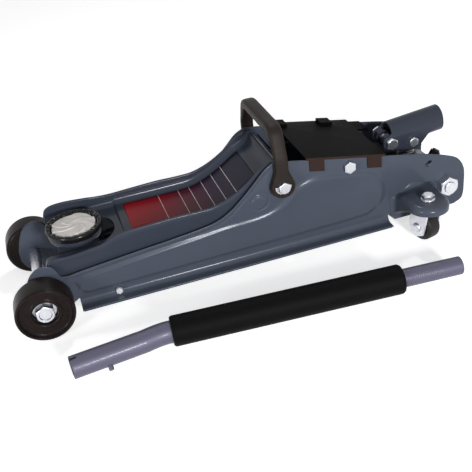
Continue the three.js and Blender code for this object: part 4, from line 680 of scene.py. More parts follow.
def arm_half(side):
    """Loop points (x station, round the section): outer face, rolled top, inner face, fillet,
    floor, mouth edge, underside and lower inner face."""
    first = ARM_FIRST[side]
    x = np.unique(np.concatenate([
        first + np.array([0, 0.1, 0.3, 0.6, 1.0, 1.6, 2.4, 3.5]), np.linspace(first + 5, 26, 6),
        np.linspace(26, ARM_END - 2, 170), ARM_END - np.array([1, 0.6, 0.3, 0.1, 0]),
        np.linspace(MOUTH_REAR - 4, MOUTH_REAR, 9), np.linspace(102, 108, 9)]))[:, None]
    top = edge_height(ARM_TOP[side], x)
    low = np.interp(x, *np.array(ARM_LOW).T)
    floor = edge_height(ARM_FLOOR, x) - 2.0 * (1 - smoothstep((x - 103.4) / 2.6))
    roll = ARM_WALL / 2
    floor = np.minimum(floor, top - roll - 0.3)
    fillet = np.clip(top - roll - floor, 0.2, 8.0)
    mouth = mouth_edge(x)
    inner = ARM_Y - ARM_WALL
    deep = ARM_WALL + UNDER_BEND

    def step(count):
        return np.linspace(0, 1, count)[None]

    rise = low + (top - roll - low) * step(9)
    arc = np.pi * step(8)[:, 1:]
    down = (top - roll) + (floor + fillet - top + roll) * step(6)[:, 1:]
    quarter = np.pi / 2 * step(8)[:, 1:]
    share = np.array([0.1, 0.2, 0.3, 0.4, 0.5, 0.6, 0.7, 0.8, 0.87, 0.93, 0.96, 0.98, 0.99, 0.996,
                      1.0])[None]
    across = (inner - fillet) + (mouth - inner + fillet) * share
    shelf = floor - np.where(mouth > 0, round_off(across - mouth, 1.2), 0)
    under = mouth + (inner - UNDER_BEND - mouth) * step(7)
    bend = np.pi / 2 * step(5)[:, 1:]
    drop = (floor - deep) + (low - floor + deep) * step(6)[:, 1:]
    drop = np.maximum(drop, low)
    flat = 0 * x
    y = np.hstack([ARM_Y + flat + 0 * rise, ARM_Y - roll + roll * np.cos(arc) + flat,
                   inner + 0 * down, inner - fillet + fillet * np.cos(quarter), across, under,
                   inner - UNDER_BEND + UNDER_BEND * np.sin(bend) + flat, inner + 0 * drop])
    z = np.hstack([rise, top - roll + roll * np.sin(arc), down,
                   floor + fillet - fillet * np.sin(quarter), shelf,
                   floor - ARM_WALL + 0 * under, floor - deep + UNDER_BEND * np.cos(bend), drop])
    z = np.maximum(z, low)
    thin = round_off(x - first, CUT_ROUND) + round_off(ARM_END - x, CUT_ROUND)
    y = np.where(y > ARM_Y - roll, y - thin, np.where(y > inner - 0.5, y + 0.6 * thin, y))
    loops = np.stack([np.broadcast_to(x, y.shape), side * y, z], -1)
    edge_at = sum(part.shape[1] for part in (rise, arc, down, quarter, across)) - 1
    faces = quads(len(x), y.shape[1], False, True).reshape(len(x) - 1, -1, 4)
    closed = (mouth[:-1, 0] <= 0) & (mouth[1:, 0] <= 0)
    keep = np.ones(faces.shape[:2], bool)
    keep[closed, edge_at] = False
    return loops.reshape(-1, 3), faces[keep]


def lift_arm():
    """Both halves in one mesh; their floors meet on the middle line, and the ends are filled."""
    (left, left_faces), (right, right_faces) = arm_half(-1), arm_half(1)
    points = to_world(np.concatenate([left, right]))
    return mesh_object("arm_pressing", points,
                       np.vstack([left_faces, right_faces + len(left)]), fill=True)


arm = lift_arm()
arm.data.set_sharp_from_angle(angle=math.radians(50))
# The arm wears the darker copy of the slate paint: painted shade.
place(arm, "lift_arm", SHADED_SLATE_PAINT)
print(arm.name, len(arm.data.polygons), "faces")


# %% [markdown]
# ## The band on the arm
# The arm's floor carries a coloured film that runs up the swoop: red in front, wine red, then
# navy, crossed by thin pale lines. It could be a texture on the arm itself. It is its own thin
# sheet here, laid just over the steel along the floor's curve, so its edge is crisp and its
# gloss differs from the paint. Two colour ramps over x give the hues and the lines.

# %% Printed band
BAND_FRONT, BAND_REAR = 114.3, 262.0
BAND_NEAR, BAND_FAR, BAND_WIDENS = -26.0, 37.0, 10.5
BAND_LINES, LINE_HALF = (157.5, 182.3, 196.2, 211.8, 225.2, 238.0), 0.0022
FILM_GAP, FILM = 0.3, 0.2


def ramp(tree, position, stops, interpolation="LINEAR"):
    """Colour stops along a position from 0 to 1."""
    made = tree.nodes.new("ShaderNodeValToRGB")
    made.color_ramp.interpolation = interpolation
    elements = made.color_ramp.elements
    while len(elements) < len(stops):
        elements.new(0.5)
    for element, (at, colour) in zip(elements, stops):
        element.position = at
        element.color = (*colour, 1)
    tree.links.new(position, made.inputs["Fac"])
    return made.outputs["Color"]


def band_material():
    """Colour along the band from a ramp over x, with thin pale lines at uneven steps."""
    made = bpy.data.materials.new("printed_band")
    made.use_nodes = True
    tree = made.node_tree
    shader = tree.nodes["Principled BSDF"]
    shader.inputs["Roughness"].default_value = 0.26
    shader.inputs["Specular IOR Level"].default_value = 0.08
    coords = tree.nodes.new("ShaderNodeTexCoord")
    split = tree.nodes.new("ShaderNodeSeparateXYZ")
    tree.links.new(coords.outputs["Object"], split.inputs["Vector"])
    along = tree.nodes.new("ShaderNodeMapRange")
    start, end = (FLOOR_BELOW_AXLE.x + v * MM for v in (BAND_FRONT, BAND_REAR))
    along.inputs["From Min"].default_value = start
    along.inputs["From Max"].default_value = end
    tree.links.new(split.outputs["X"], along.inputs["Value"])
    hue = ramp(tree, along.outputs["Result"], [
        (0.0, (0.25, 0.006, 0.010)), (0.24, (0.19, 0.005, 0.010)),
        (0.50, (0.070, 0.008, 0.018)), (0.72, (0.020, 0.011, 0.028)),
        (1.0, (0.011, 0.013, 0.028))])
    marks = [0.0]
    for x in BAND_LINES:
        at = (x - BAND_FRONT) / (BAND_REAR - BAND_FRONT)
        marks += [at - LINE_HALF, at + LINE_HALF]
    black_or_white = [(at, (i % 2,) * 3) for i, at in enumerate(marks)]
    lines = ramp(tree, along.outputs["Result"], black_or_white, "CONSTANT")
    mix = tree.nodes.new("ShaderNodeMix")
    mix.data_type = "RGBA"
    mix.inputs[7].default_value = (0.55, 0.52, 0.54, 1)
    tree.links.new(lines, mix.inputs["Factor"])
    tree.links.new(hue, mix.inputs[6])
    tree.links.new(mix.outputs[2], shader.inputs["Base Color"])
    return made


def printed_band():
    """Grid over x and y just over the floor; its near edge widens where the floor rises."""
    x = np.linspace(BAND_FRONT, BAND_REAR, 90)[:, None]
    near = BAND_NEAR - BAND_WIDENS * smoothstep((x - 182) / 40)
    y = near + (BAND_FAR - near) * np.linspace(0, 1, 12)[None]
    z = edge_height(ARM_FLOOR, x) + FILM_GAP
    points = np.stack(np.broadcast_arrays(x, y, z), -1)
    piece = mesh_object("arm_band", to_world(points), quads(*points.shape[:2]), facing=(0, 0, 1))
    sheet_metal(piece, FILM)
    return piece


band = printed_band()
wear(band, band_material())
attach(band, "arm")
print("band:", len(band.data.polygons), "faces")


# %% [markdown]
# ## Front wheels
# A front wheel is a turned steel roller: a thin raised rim, a shallow dish, a raised hub ring
# and a deep hole for the nut. A cylinder with insets and bevels could become one too, but one
# profile of radius and height says all of it at once. Its corners are eased, and it is turned
# about the axle.

# %% Wheels
WHEEL_R, WHEEL_OUT, WHEEL_IN = 32.5, 85.4, 56.4


def wheel_profile():
    """Round the section: bore, hub collar, inner face, tread, rim, dish, hub ring, recess."""
    out, into, r = WHEEL_OUT, WHEEL_IN, WHEEL_R
    corners = [(7.1, into - 2.4), (14, into - 2.4), (15, into), (r - 2.4, into), (r, into + 2.4),
               (r, out - 2.4), (r - 1.0, out - 0.1), (r - 2.9, out), (r - 4.3, out - 3.8),
               (r - 6.6, out - 5.0), (18.6, out - 4.7), (17.6, out - 3.6), (15.4, out - 3.6),
               (14.0, out - 5.0), (14.0, out - 15.5), (7.1, out - 15.5)]
    ease = [0.3, 0.8, 0.6, 1.6, 1.6, 1.2, 1.0, 0.9, 1.6, 1.6, 0.8, 0.7, 0.7, 0.7, 0.6, 0.4]
    return eased(corners, ease, 4)


for side, sign in SIDES:
    wheel = turned(side + "_roller", wheel_profile(), (0, 0, WHEEL_R), (0, sign, 0), 128)
    place(wheel, side + "_front_wheel", ROLLER)
    print(wheel.name, len(wheel.data.polygons), "faces")

# %% [markdown]
# ## Saddle
# The saddle is a shallow steel cup, a hard black ring with a serrated lip, and a soft pale pad
# of six petals that overlap like a turned flower. The teeth could be cut by an array of small
# Booleans, and the petals modelled one by one. As grids of angle and section both come from saw
# waves of the angle, which leave clean meshes. The cup is turned like the wheels.

# %% Saddle cup
SADDLE = (52.3, 0, 0)
PAD_TOP, PAD_LOW, PAD_R, PAD_WAVE, PETALS = 86.05, 76.7, 24.3, 1.7, 6
RING_TEETH, TOOTH_DEEP = 24, 1.5
cup_profile = eased([(0.01, 58), (7, 58), (8, 59), (8, 70.3), (24, 70.3), (29.6, 72.8),
                     (31, 75.4), (31, 78.8), (25.5, 78.8), (25.5, 76.3), (0.01, 76.3)],
                    [0.001, 0.4, 0.4, 0.6, 2.5, 1.8, 1.2, 0.5, 0.4, 0.4, 0.001], 4)
cup = turned("saddle_dish", cup_profile[2:-2], SADDLE, (0, 0, 1), 120, closed=False)
# The cup wears the darker copy of the slate paint: painted shade.
place(cup, "saddle_cup", SHADED_SLATE_PAINT)


# %% Saddle ring and pad
def saddle_ring():
    """Section turned about z; the lip drops by a saw wave of the angle, more towards the pad."""
    section = eased([(26.3, 79.1), (31.5, 79.1), (32.4, 80.6), (32.5, 85.2), (31.4, 87.2),
                     (29.6, 87.6), (27.6, 86.6), (26.3, 84.8)], 0.7, 4)
    t = np.linspace(0, 2 * np.pi, 960, endpoint=False)[:, None]
    r, z = section[None, :, 0], section[None, :, 1]
    saw = (t * RING_TEETH / (2 * np.pi)) % 1
    cut = smoothstep(saw / 0.25) * (1 - smoothstep((saw - 0.55) / 0.12))
    inner = smoothstep((31.0 - r) / 2.0) * smoothstep((z - 83.6) / 1.5)
    z = z - TOOTH_DEEP * cut * inner
    r = r + 0.5 * cut * inner
    points = np.stack([SADDLE[0] + r * np.cos(t), r * np.sin(t), z], -1)
    return mesh_object("saddle_lip", to_world(points), quads(*points.shape[:2], True, True))


def saddle_pad():
    """Six petals: a saw wave of angle plus a turn that grows with the radius steps the top, and
    the same wave at the rim cuts the outline; the side is a short rounded wall."""
    t = np.linspace(0, 2 * np.pi, 480, endpoint=False)[:, None]
    v = np.linspace(0, 1, 48)[None]
    sweep = 1.5

    def petal(turn):
        return (PETALS * (t + 0.35 * np.sin(2 * t)) / (2 * np.pi) + turn) % 1

    saw = petal(sweep * v)
    step = saw * (1 - smoothstep((saw - 0.90) / 0.10))
    rim_saw = petal(sweep)
    rim = PAD_R + PAD_WAVE * rim_saw * (1 - smoothstep((rim_saw - 0.93) / 0.07))
    top = PAD_TOP - 1.0 * v ** 3 + 0.75 * step * smoothstep(v * 2.5)
    r = rim * (v - 0.045 * v ** 6)
    edge = np.linspace(0, np.pi / 2, 6)[None, 1:]
    r = np.hstack([r, rim * 0.955 + rim * 0.045 * np.sin(edge), rim + 0 * t, 0.01 + 0 * t])
    z = np.hstack([top, top[:, -1:] - 1.3 * (1 - np.cos(edge)), PAD_LOW + 0 * t,
                   PAD_LOW + 0 * t])
    points = np.stack([SADDLE[0] + r * np.cos(t), r * np.sin(t), z], -1)
    return mesh_object("saddle_cushion", to_world(points), quads(*points.shape[:2], True, False))


ring = saddle_ring()
place(ring, "saddle_ring", RING)
pad = saddle_pad()
place(pad, "saddle_pad", PAD)
print("saddle pieces:", [len(p.data.polygons) for p in (cup, ring, pad)])

# %% [markdown]
# ## Caster wings
# The rear casters hang under pressed wings: a flat top with a round edge that turns down into a
# skirt. At the frame the top lifts into a fillet against the wall, and its front half is
# creased down. A plate with a Bevel would have the same edge but no skirt that changes its
# height. The surface is a grid: one parameter goes along the wing's outline, the other from its
# spine outwards, over the edge and down. A small flat foot joins it to the frame.

# %% Caster wing
WING_X, WING_Y, WING_R, WING_TOP, WING_SHEET = 450.5, 89.5, 24.4, 53.7, 3.0
WING_EDGE, WING_SKIRT, WING_CREASE = 6.5, 10.0, 6.5
WALL_Y, WALL_FOOT = 53.7, 1.1


def caster_wing(side):
    """Outline and its outward normal, then spine, top, edge arc and skirt."""
    left, right, edge, sides = WING_X - WING_R, WING_X + WING_R, WING_EDGE, 23
    straight = (WALL_Y + (WING_Y - WALL_Y) * np.linspace(0, 1, sides + 1) ** 1.6)[:-1]
    flare = 0.8 * round_off(straight - WALL_Y, 7.0)
    turn = np.linspace(np.pi, 0, 41)
    px = np.concatenate([left - flare, WING_X + WING_R * np.cos(turn), right + flare[::-1]])
    py = np.concatenate([straight, WING_Y + WING_R * np.sin(turn), straight[::-1]])
    nx = np.concatenate([np.full(sides, -1.0), np.cos(turn), np.full(sides, 1.0)])
    ny = np.concatenate([np.zeros(sides), np.sin(turn), np.zeros(sides)])
    sx, sy = np.full(len(px), WING_X), np.minimum(py, WING_Y)
    bottom = np.full(len(px), WING_TOP - WING_SKIRT)
    bottom[:sides + 1] = np.interp(py[:sides + 1], [WALL_Y, WALL_Y + 8, WING_Y],
                                   [20.5, 27, WING_TOP - WING_SKIRT])
    rows = []
    for share in np.linspace(0, 1, 8):
        rows.append((sx + (px - edge * nx - sx) * share, sy + (py - edge * ny - sy) * share,
                     WING_TOP + 0 * px))
    for a in np.linspace(0, np.pi / 2, 8)[1:]:
        rows.append((px - edge * nx * (1 - math.sin(a)), py - edge * ny * (1 - math.sin(a)),
                     WING_TOP - edge * (1 - math.cos(a)) + 0 * px))
    for share in np.linspace(0, 1, 7)[1:]:
        rows.append((px, py, (WING_TOP - edge) + (bottom - WING_TOP + edge) * share))
    grid = np.stack([np.stack(row, -1) for row in rows])
    from_spine = np.abs(grid[..., 0] - WING_X) / WING_R
    lift = round_off(grid[..., 1] - WALL_Y, 6.0) * (1 - smoothstep(from_spine / 0.9))
    by_wall = 1 - smoothstep((grid[..., 1] - WALL_Y) / 17)
    crease = WING_CREASE * by_wall * smoothstep(from_spine)
    lift = lift - crease * (grid[..., 0] < WING_X)
    grid[..., 2] += lift * smoothstep((grid[..., 2] - 38) / 9)
    grid[..., 1] *= side
    shell = mesh_object("wing", to_world(grid), quads(*grid.shape[:2]), facing=(0, 0, 1))
    sheet_metal(shell, WING_SHEET)
    return shell


def worked_out(piece):
    """The piece's mesh with its modifiers worked out."""
    graph = bpy.context.evaluated_depsgraph_get()
    return bpy.data.meshes.new_from_object(piece.evaluated_get(graph))


def solid_copy(piece):
    """A plain copy with the modifiers worked out takes the piece's place."""
    made = linked(piece.name + "_solid", worked_out(piece))
    bpy.data.objects.remove(piece)
    return made


def caster_bracket(name, side):
    """The wing, and the flat foot that is welded to the frame's wall."""
    left = WING_X - WING_R
    foot = eased([(left + 0.5, 20), (left + 0.5, 47), (left + 48, 47), (left + 48, 43.7),
                  (left + 12, 41.7), (left + 7, 20)], [0.8, 2, 2, 1, 2, 0.8], 5)
    wall = slab("wall_foot", foot, side * WALL_Y, side * (WALL_Y + WALL_FOOT), 0.5)
    return joined(name, [solid_copy(caster_wing(side)), wall])


for side, sign in SIDES:
    bracket = caster_bracket(side + "_caster_wing", sign)
    place(bracket, side + "_caster_bracket", PAINT)
    print(bracket.name, len(bracket.data.polygons), "faces")

# %% [markdown]
# ## Caster wheels
# Each caster is a small hard rubber roller with a flat dished side. It is turned from a profile
# as the front wheels are, which is the shortest way to a round thing with eased corners. Its
# axle is held by the fork a little behind the stem, and swivelled sideways.

# %% Caster wheels
CASTER_R, CASTER_W, TRAIL, CASTER_TURN = 18.3, 18.0, 4.5, math.radians(104)


def caster_profile():
    """Half widths and radii: hub, dish, shoulder, tread with round corners."""
    h, r = CASTER_W / 2, CASTER_R
    half = [(4.3, h - 0.2), (8.0, h - 0.2), (8.8, h - 1.6), (r - 6.0, h - 1.6), (r - 5.0, h),
            (r - 2.4, h), (r, h - 2.4)]
    whole = [(a, -b) for a, b in half] + half[::-1]
    return eased(whole, [0.2, 0.6, 0.6, 0.8, 0.8, 1.2, 2.0] + [2.0, 1.2, 0.8, 0.8, 0.6, 0.6, 0.2],
                 5)


for side, sign in SIDES:
    turn = CASTER_TURN if sign < 0 else -CASTER_TURN
    trail = (WING_X + TRAIL * math.cos(turn), sign * WING_Y + TRAIL * math.sin(turn), CASTER_R)
    tyre = turned(side + "_caster_tyre", caster_profile(), trail,
                  (-math.sin(turn), math.cos(turn), 0), 80)
    place(tyre, side + "_caster_wheel", TREAD)
    print(tyre.name, len(tyre.data.polygons), "faces")

# %% [markdown]
# ## Handle socket
# The socket is a tube whose sides run straight down into two cheeks round the pump. Seen from
# its end the hood is a half circle with straight legs, so the surface is that section with legs
# of a length that changes along the tube. A pipe and two plates joined by Booleans would show a
# seam where the real sheet bends. The open end behind the legs is a turned tube.

# %% Socket
SOCKET_AT, SOCKET_TILT, SOCKET_R, SOCKET_LONG = (443.0, 101.8), math.radians(5.5), 16.0, 69.5
HOOD_FRONT, CROWN_BACK, HOOD_REAR, HOOD_SHEET = 431.5, 11.5, 511.5, 2.9
TUBE_FROM, TUBE_BORE = 41.0, 12.8
CHEEK_EDGE = [(431, 107), (431.4, 96), (432.6, 92), (437, 89.6), (453, 84), (463, 82),
              (472, 81.5), (479, 83.4), (485, 90), (492, 97.6), (499, 101.2), (506, 105.5),
              (514, 108.6)]


def socket_hood():
    """Section angle 0..180 degrees over the tube and legs that fall to the cheek's edge; the
    crown starts further back than the legs, so each column runs from its own first x."""
    leg, arch = 12, 49
    angle = np.concatenate([np.zeros(leg), np.linspace(0, np.pi, arch), np.full(leg, np.pi)])
    fall = np.concatenate([1 - np.arange(leg) / leg, np.zeros(arch), np.arange(1, leg + 1) / leg])
    start = HOOD_FRONT + CROWN_BACK * smoothstep(np.sin(angle) / 0.45)
    share = np.concatenate([[0, 0.003, 0.009, 0.018, 0.03], np.linspace(0.045, 1, 76)])[:, None]
    x = start + (HOOD_REAR - start) * share
    axis = SOCKET_AT[1] + (x - SOCKET_AT[0]) * math.tan(SOCKET_TILT)
    low = np.minimum(edge_height(CHEEK_EDGE, x), axis)
    points = np.stack([x, -SOCKET_R * np.cos(angle) + 0 * x,
                       axis + SOCKET_R * np.sin(angle) - fall * (axis - low)], -1)
    hood = mesh_object("hood", to_world(points), quads(*points.shape[:2]), facing=(0, 0, 1))
    sheet_metal(hood, HOOD_SHEET)
    return hood


def socket_tube():
    """Ring section along the tilted axis from the arch to the open end."""
    outer = SOCKET_R - 0.08
    wall = eased([(outer, TUBE_FROM), (outer, SOCKET_LONG), (TUBE_BORE, SOCKET_LONG),
                  (TUBE_BORE, TUBE_FROM)], [0.2, 1.2, 0.8, 0.2], 5)
    axis = (math.cos(SOCKET_TILT), 0, math.sin(SOCKET_TILT))
    return turned("tube", wall, (SOCKET_AT[0], 0, SOCKET_AT[1]), axis, 96)


socket = joined("socket_hood", [solid_copy(socket_hood()), socket_tube()])
# The socket wears the darker copy of the slate paint: painted shade.
place(socket, "handle_socket", SHADED_SLATE_PAINT)
print(socket.name, len(socket.data.polygons), "faces")

# %% [markdown]
# ## Carry handle
# The carry handle is one moulding: legs that widen into round eyes for the bolts, bends, and a
# thicker grip with four finger swells. A curve object with a bevel carries one section only. So
# a rounded section is carried along the handle's line by a formula, and its width and height
# change with the height it has reached.

# %% Carry handle
CARRY_X, CARRY_Z, LEG_Y = 285.0, 101.5, 59.6
LEG_TALL, GRIP_TALLER, LEG_WIDE, GRIP_WIDER, EYE_WIDER = 8.0, 5.0, 15.5, 1.0, 11.0
SWELL_DEEP, SWELL_APART = 3.4, 17.0
CARRY_LINE = [(LEG_Y, 103), (LEG_Y, 112), (LEG_Y, 124), (58.7, 135.5), (54.2, 146),
              (49.6, 155), (44.5, 162), (35, 164.4), (20, 164.5), (0, 164.5)]


def carry_handle():
    """Half the line is mirrored; the section grows taller on the grip and wider at the eyes, and
    its lower side swells between the fingers."""
    half = through(CARRY_LINE, 10)
    line = np.vstack([half, half[-2::-1] * (-1, 1)])
    path = np.stack([np.full(len(line), CARRY_X), line[:, 0], line[:, 1]], -1)
    z, y = path[:, 2], path[:, 1]
    grip = smoothstep((z - 140) / 22)
    tall = LEG_TALL + GRIP_TALLER * grip
    eye = 1 - smoothstep((z - 103) / 20)
    wide = LEG_WIDE + GRIP_WIDER * grip + EYE_WIDER * eye
    section = ring_section(wide, tall, 0.55 + 0 * wide, 48)
    swell = SWELL_DEEP * np.clip((1 - np.cos(2 * np.pi * y / SWELL_APART)) / 2, 0, 1)
    swell = swell * (1 - smoothstep((np.abs(y) - 30) / 6)) * smoothstep((z - 158) / 4)
    points = carried(path, section, (1, 0, 0))
    across = np.cos(section[..., 0] / wide[:, None] * np.pi)
    above = points[..., 2] - z[:, None]
    half_tall = (LEG_TALL + GRIP_TALLER) / 2
    points[..., 2] -= np.where(above < 0, swell[:, None] * across * (-above / half_tall), 0)
    bar = mesh_object("bar", to_world(points), quads(*points.shape[:2], False, True), fill=True)
    pieces = [bar]
    for side in (-1, 1):
        low, high = LEG_Y - 3.6, LEG_Y + 4
        eye_profile = eased([(5.3, low), (14, low), (14, high), (10.4, high), (10.4, high - 4),
                             (5.3, high - 4)], [0.3, 1.4, 2.2, 0.8, 0.6, 0.3], 5)
        pieces.append(turned("eye", eye_profile, (CARRY_X, 0, CARRY_Z), (0, side, 0), 80))
    return joined("carry_moulding", pieces)


carry = carry_handle()
place(carry, "carry_handle", CARRY)
print(carry.name, len(carry.data.polygons), "faces")


# %% [markdown]
# ## Pump bar
# The bar lies beside the jack: a tube with a notched end and a bend, a long foam grip over it
# and a thinner ribbed tube beyond. A curve object with a bevel would make solid rods. Here a
# tube is a circle carried along its line outside and back inside, so that its ends are real
# walls, and the notch and the ribs are small shifts of the same rings.

# %% Bar line
GRIP_R, GRIP_LONG, GRIP_BORE, GRIP_EASE = 16.5, 254.0, 12.3, 1.3
LOWER_R, UPPER_R, TUBE_WALL = 12.0, 10.2, 1.4
GRIP_AT = np.array([121.0, -148.0, GRIP_R])
GRIP_RUN = np.array([252.0, -21.0, 0.0]) / math.hypot(252, 21)
BAR_AT = GRIP_AT + (-107, -12, 0)
BAR_RUN = np.array([107.0, 12.0, 0.0]) / math.hypot(107, 12)


def tube_shell(path, radius, wall, ribs=0.0, around=64):
    """Outer circle along the line with eased ends, then the inner circle back."""
    path = np.asarray(path, float)
    ease = np.array([0.45, 0.15, 0.0])
    size = radius + ribs + np.zeros(len(path))
    size[:3] -= ease * wall
    size[-3:] -= ease[::-1] * wall
    inner = np.full(len(path), radius - wall)
    t = np.linspace(0, 2 * np.pi, around, endpoint=False)
    circle = np.stack([np.cos(t), np.sin(t)], -1)[None]
    outside = carried(path, circle * size[:, None, None], (0, 0, 1))
    inside = carried(path, circle * inner[:, None, None], (0, 0, 1))[::-1]
    return np.concatenate([outside, inside])


def tube_object(name, path, radius, wall, ribs=0.0):
    """A tube as one closed surface."""
    points = tube_shell(path, radius, wall, ribs)
    return mesh_object(name, to_world(points), quads(*points.shape[:2], True, True))


def stations(start, end, count, near=(0.0, 0.25, 0.7, 1.5)):
    """Distances that are close together at both ends."""
    first = start + np.array(near)
    last = end - np.array(near)[::-1]
    return np.concatenate([first, np.linspace(first[-1], last[0], count)[1:-1], last])


# %% Bar pieces
foam_s = stations(0, GRIP_LONG, 90, (0.0, 0.2, 0.6, 1.2, 2.0))
foam_r = GRIP_R - GRIP_EASE * (1 - smoothstep(foam_s / 2.2))
foam_r = foam_r - GRIP_EASE * (1 - smoothstep((GRIP_LONG - foam_s) / 2.2))
foam_outer = np.stack([foam_r, foam_s], -1)
foam_inner = np.array([[GRIP_BORE, GRIP_LONG], [GRIP_BORE, 0.0]])
foam = turned("grip_foam", np.vstack([foam_outer, foam_inner]), GRIP_AT, GRIP_RUN, 128)
place(foam, "foam_grip", FOAM)

upper_s = stations(190, 323, 240)
ribs = 0.22 * np.sin(2 * np.pi * upper_s / 2.4) * smoothstep((upper_s - 250) / 4)
ribs = ribs * (1 - smoothstep((upper_s - 292) / 12))
upper = tube_object("upper_bar", GRIP_AT + upper_s[:, None] * GRIP_RUN, UPPER_R, TUBE_WALL,
                    ribs)
place(upper, "upper_handle_tube", TUBE)


def lower_bar():
    """Straight run, a quadratic Bezier bend, then along the grip; a notch in the open end."""
    bend_from = GRIP_AT - 30 * BAR_RUN
    straight = BAR_AT + stations(0, math.dist(BAR_AT, bend_from), 34)[:, None] * BAR_RUN
    t = np.linspace(0, 1, 9)[1:, None]
    middle, end = GRIP_AT - 12 * GRIP_RUN, GRIP_AT - 2 * GRIP_RUN
    bend = (1 - t) ** 2 * bend_from + 2 * t * (1 - t) * middle + t ** 2 * end
    grip = GRIP_AT + np.linspace(6, 253, 20)[:, None] * GRIP_RUN
    shell = tube_shell(np.vstack([straight, bend, grip]), LOWER_R, TUBE_WALL, 0, 120)
    from_tip = ((shell - BAR_AT) @ BAR_RUN)[..., None]
    up = shell[..., 2:] - GRIP_AT[2]
    sideways = np.abs((shell - BAR_AT) @ np.cross((0, 0, 1), BAR_RUN))[..., None]
    notch = 7.5 * (1 - smoothstep((sideways - 2.3) / 0.5)) * (up > 0)
    push = notch * np.clip(1 - from_tip / 20, 0, 1)
    return mesh_object("lower_bar", to_world(shell + push * BAR_RUN),
                       quads(*shell.shape[:2], True, True))


def lock_peg():
    """A small domed pin turned about an axis that leans down and outwards from the tube."""
    out = 0.78 * np.cross(BAR_RUN, (0, 0, 1)) - (0, 0, 0.62)
    profile = eased([(0.01, 9), (2.7, 9), (2.7, 16.6), (0.01, 16.6)], [0.001, 0.3, 1.3, 0.001], 5)
    return turned("lock_peg", profile[1:-1], BAR_AT + 37 * BAR_RUN, out, 40, closed=False)


peg = lock_peg()
place(peg, "handle_peg", TUBE)
lower = lower_bar()
place(lower, "lower_handle_tube", TUBE)
print("bar pieces:", [len(p.data.polygons) for p in (foam, upper, lower)])


# %% [markdown]
# ## Springs
# Two springs pull the arm down, and one lifts the pump plunger. A Screw modifier could wind
# them. A formula for the helix was chosen because it takes the two ends where the spring is
# held, and a circle of the wire's radius is carried along it.

# %% Springs
def coil(name, start, end, turns, radius, wire, up):
    """Start plus the run times t, plus a circle of the coil's radius turning with t."""
    start, end = np.array(start, float), np.array(end, float)
    t = np.linspace(0, 1, turns * 28 + 1)[:, None]
    run = (end - start) / np.linalg.norm(end - start)
    one = np.cross(run, up)
    two = np.cross(run, one)
    angle = 2 * np.pi * turns * t
    path = start + (end - start) * t + radius * (np.cos(angle) * one + np.sin(angle) * two)
    return swept(name, path, ring_section(2 * wire, 2 * wire, 1.0, 12), run)


for side, sign in SIDES:
    spring = coil(side + "_pull_spring", (290.2, sign * 32, 40.05), (347.8, sign * 32, 40.05), 9,
                  4.0, 1.1, (0, 0, 1))
    place(spring, side + "_return_spring", SPRING)
push_spring = coil("plunger_spring", (470, 0, 71.4), (470, 0, 82.8), 4, 8.8, 1.1, (1, 0, 0))
place(push_spring, "pump_spring", SPRING)
print("spring faces:", len(spring.data.polygons), len(push_spring.data.polygons))


# %% [markdown]
# ## Small parts keep their solids
# Bolts, nuts, pins and brackets already have the right shape, and modelling them again would
# only risk their sizes. Each is copied, its doubles are merged, flat faces are joined and its
# sharp edges get a small chamfer. Real machined edges catch the light in the same way.

# %% Chamfered copies
SHARP_EDGE, SAME_PLANE = math.radians(32), math.radians(1.5)


def dressed(node, material, chamfer):
    """A copy of a part with merged doubles, joined flat faces and a small bevel."""
    source = frame["nodes"][node]
    mesh = source.data.copy()
    mesh.name = node + "_skin"
    tidy = bmesh.new()
    tidy.from_mesh(mesh)
    bmesh.ops.remove_doubles(tidy, verts=tidy.verts, dist=2e-6)
    bmesh.ops.dissolve_limit(tidy, angle_limit=SAME_PLANE, verts=tidy.verts, edges=tidy.edges)
    tidy.to_mesh(mesh)
    tidy.free()
    mesh.shade_smooth()
    mesh.set_sharp_from_angle(angle=SHARP_EDGE)
    made = linked(node + "_skin", mesh)
    edge = made.modifiers.new("chamfer", "BEVEL")
    edge.width = chamfer * MM
    edge.segments = 2
    edge.limit_method = "ANGLE"
    edge.angle_limit = SHARP_EDGE
    edge.harden_normals = True
    place(made, node, material)
    return made


PAIRED = {
    "wheel_washer": (PALE_ZINC, 0.3), "wheel_nut": (ZINC, 0.5), "cross_nut": (ZINC, 0.5),
    "carry_bolt": (ZINC, 0.4), "caster_nut": (ZINC, 0.3), "caster_axle": (ZINC, 0.2),
    "caster_fork": (PALE_ZINC, 0.5), "levelling_rod": (PAINT, 0.6),
}
SINGLE = {
    "front_axle": (ZINC, 0.6), "arm_pivot_shaft": (ZINC, 0.5), "arm_lever": (DARK_PAINT, 0.8),
    "ram_pin": (ZINC, 0.4), "saddle_pin": (ZINC, 0.4), "saddle_bracket": (PAINT, 0.8),
    "ram_rod": (ZINC, 0.6), "cylinder_tube": (DARK_PAINT, 0.8),
    "cylinder_gland": (BLACK_STEEL, 0.6),
    "oil_reservoir": (DARK_PAINT, 1.0), "filler_plug": (BLACK_STEEL, 0.4),
    "pump_block": (DARK_PAINT, 1.0), "release_valve": (BLACK_STEEL, 0.5),
    "pump_plunger": (ZINC, 0.4), "cross_bolt": (ZINC, 0.8),
    "socket_bolt": (ZINC, 0.5), "socket_roller": (ZINC, 0.4), "tie_bolt": (ZINC, 0.6),
    "tie_spacer": (ZINC, 0.4), "front_tie": (PALE_ZINC, 0.4),
    "top_cover": (COVER, 0.8),
}
SMALL = {side + "_" + node: values for node, values in PAIRED.items() for side, _ in SIDES}
SMALL.update(SINGLE)
small = {node: dressed(node, *values) for node, values in SMALL.items()}
print("chamfered copies:", len(small))


# %% [markdown]
# ## The top cover
# The cover leaves the socket's near cheek free, so its rear corner is missing. The corner could
# be left out point by point. A Boolean with a plain block is simpler and safe here, because the
# cover is a closed solid. Its clip tabs, which hang over the plates, look browner than its top,
# and are found by how far their faces lie from the middle.

# %% Cover
COVER_NOTCH = ((421, -49.6, 60), (470, 23, 130))
TAB_Y = 50.2


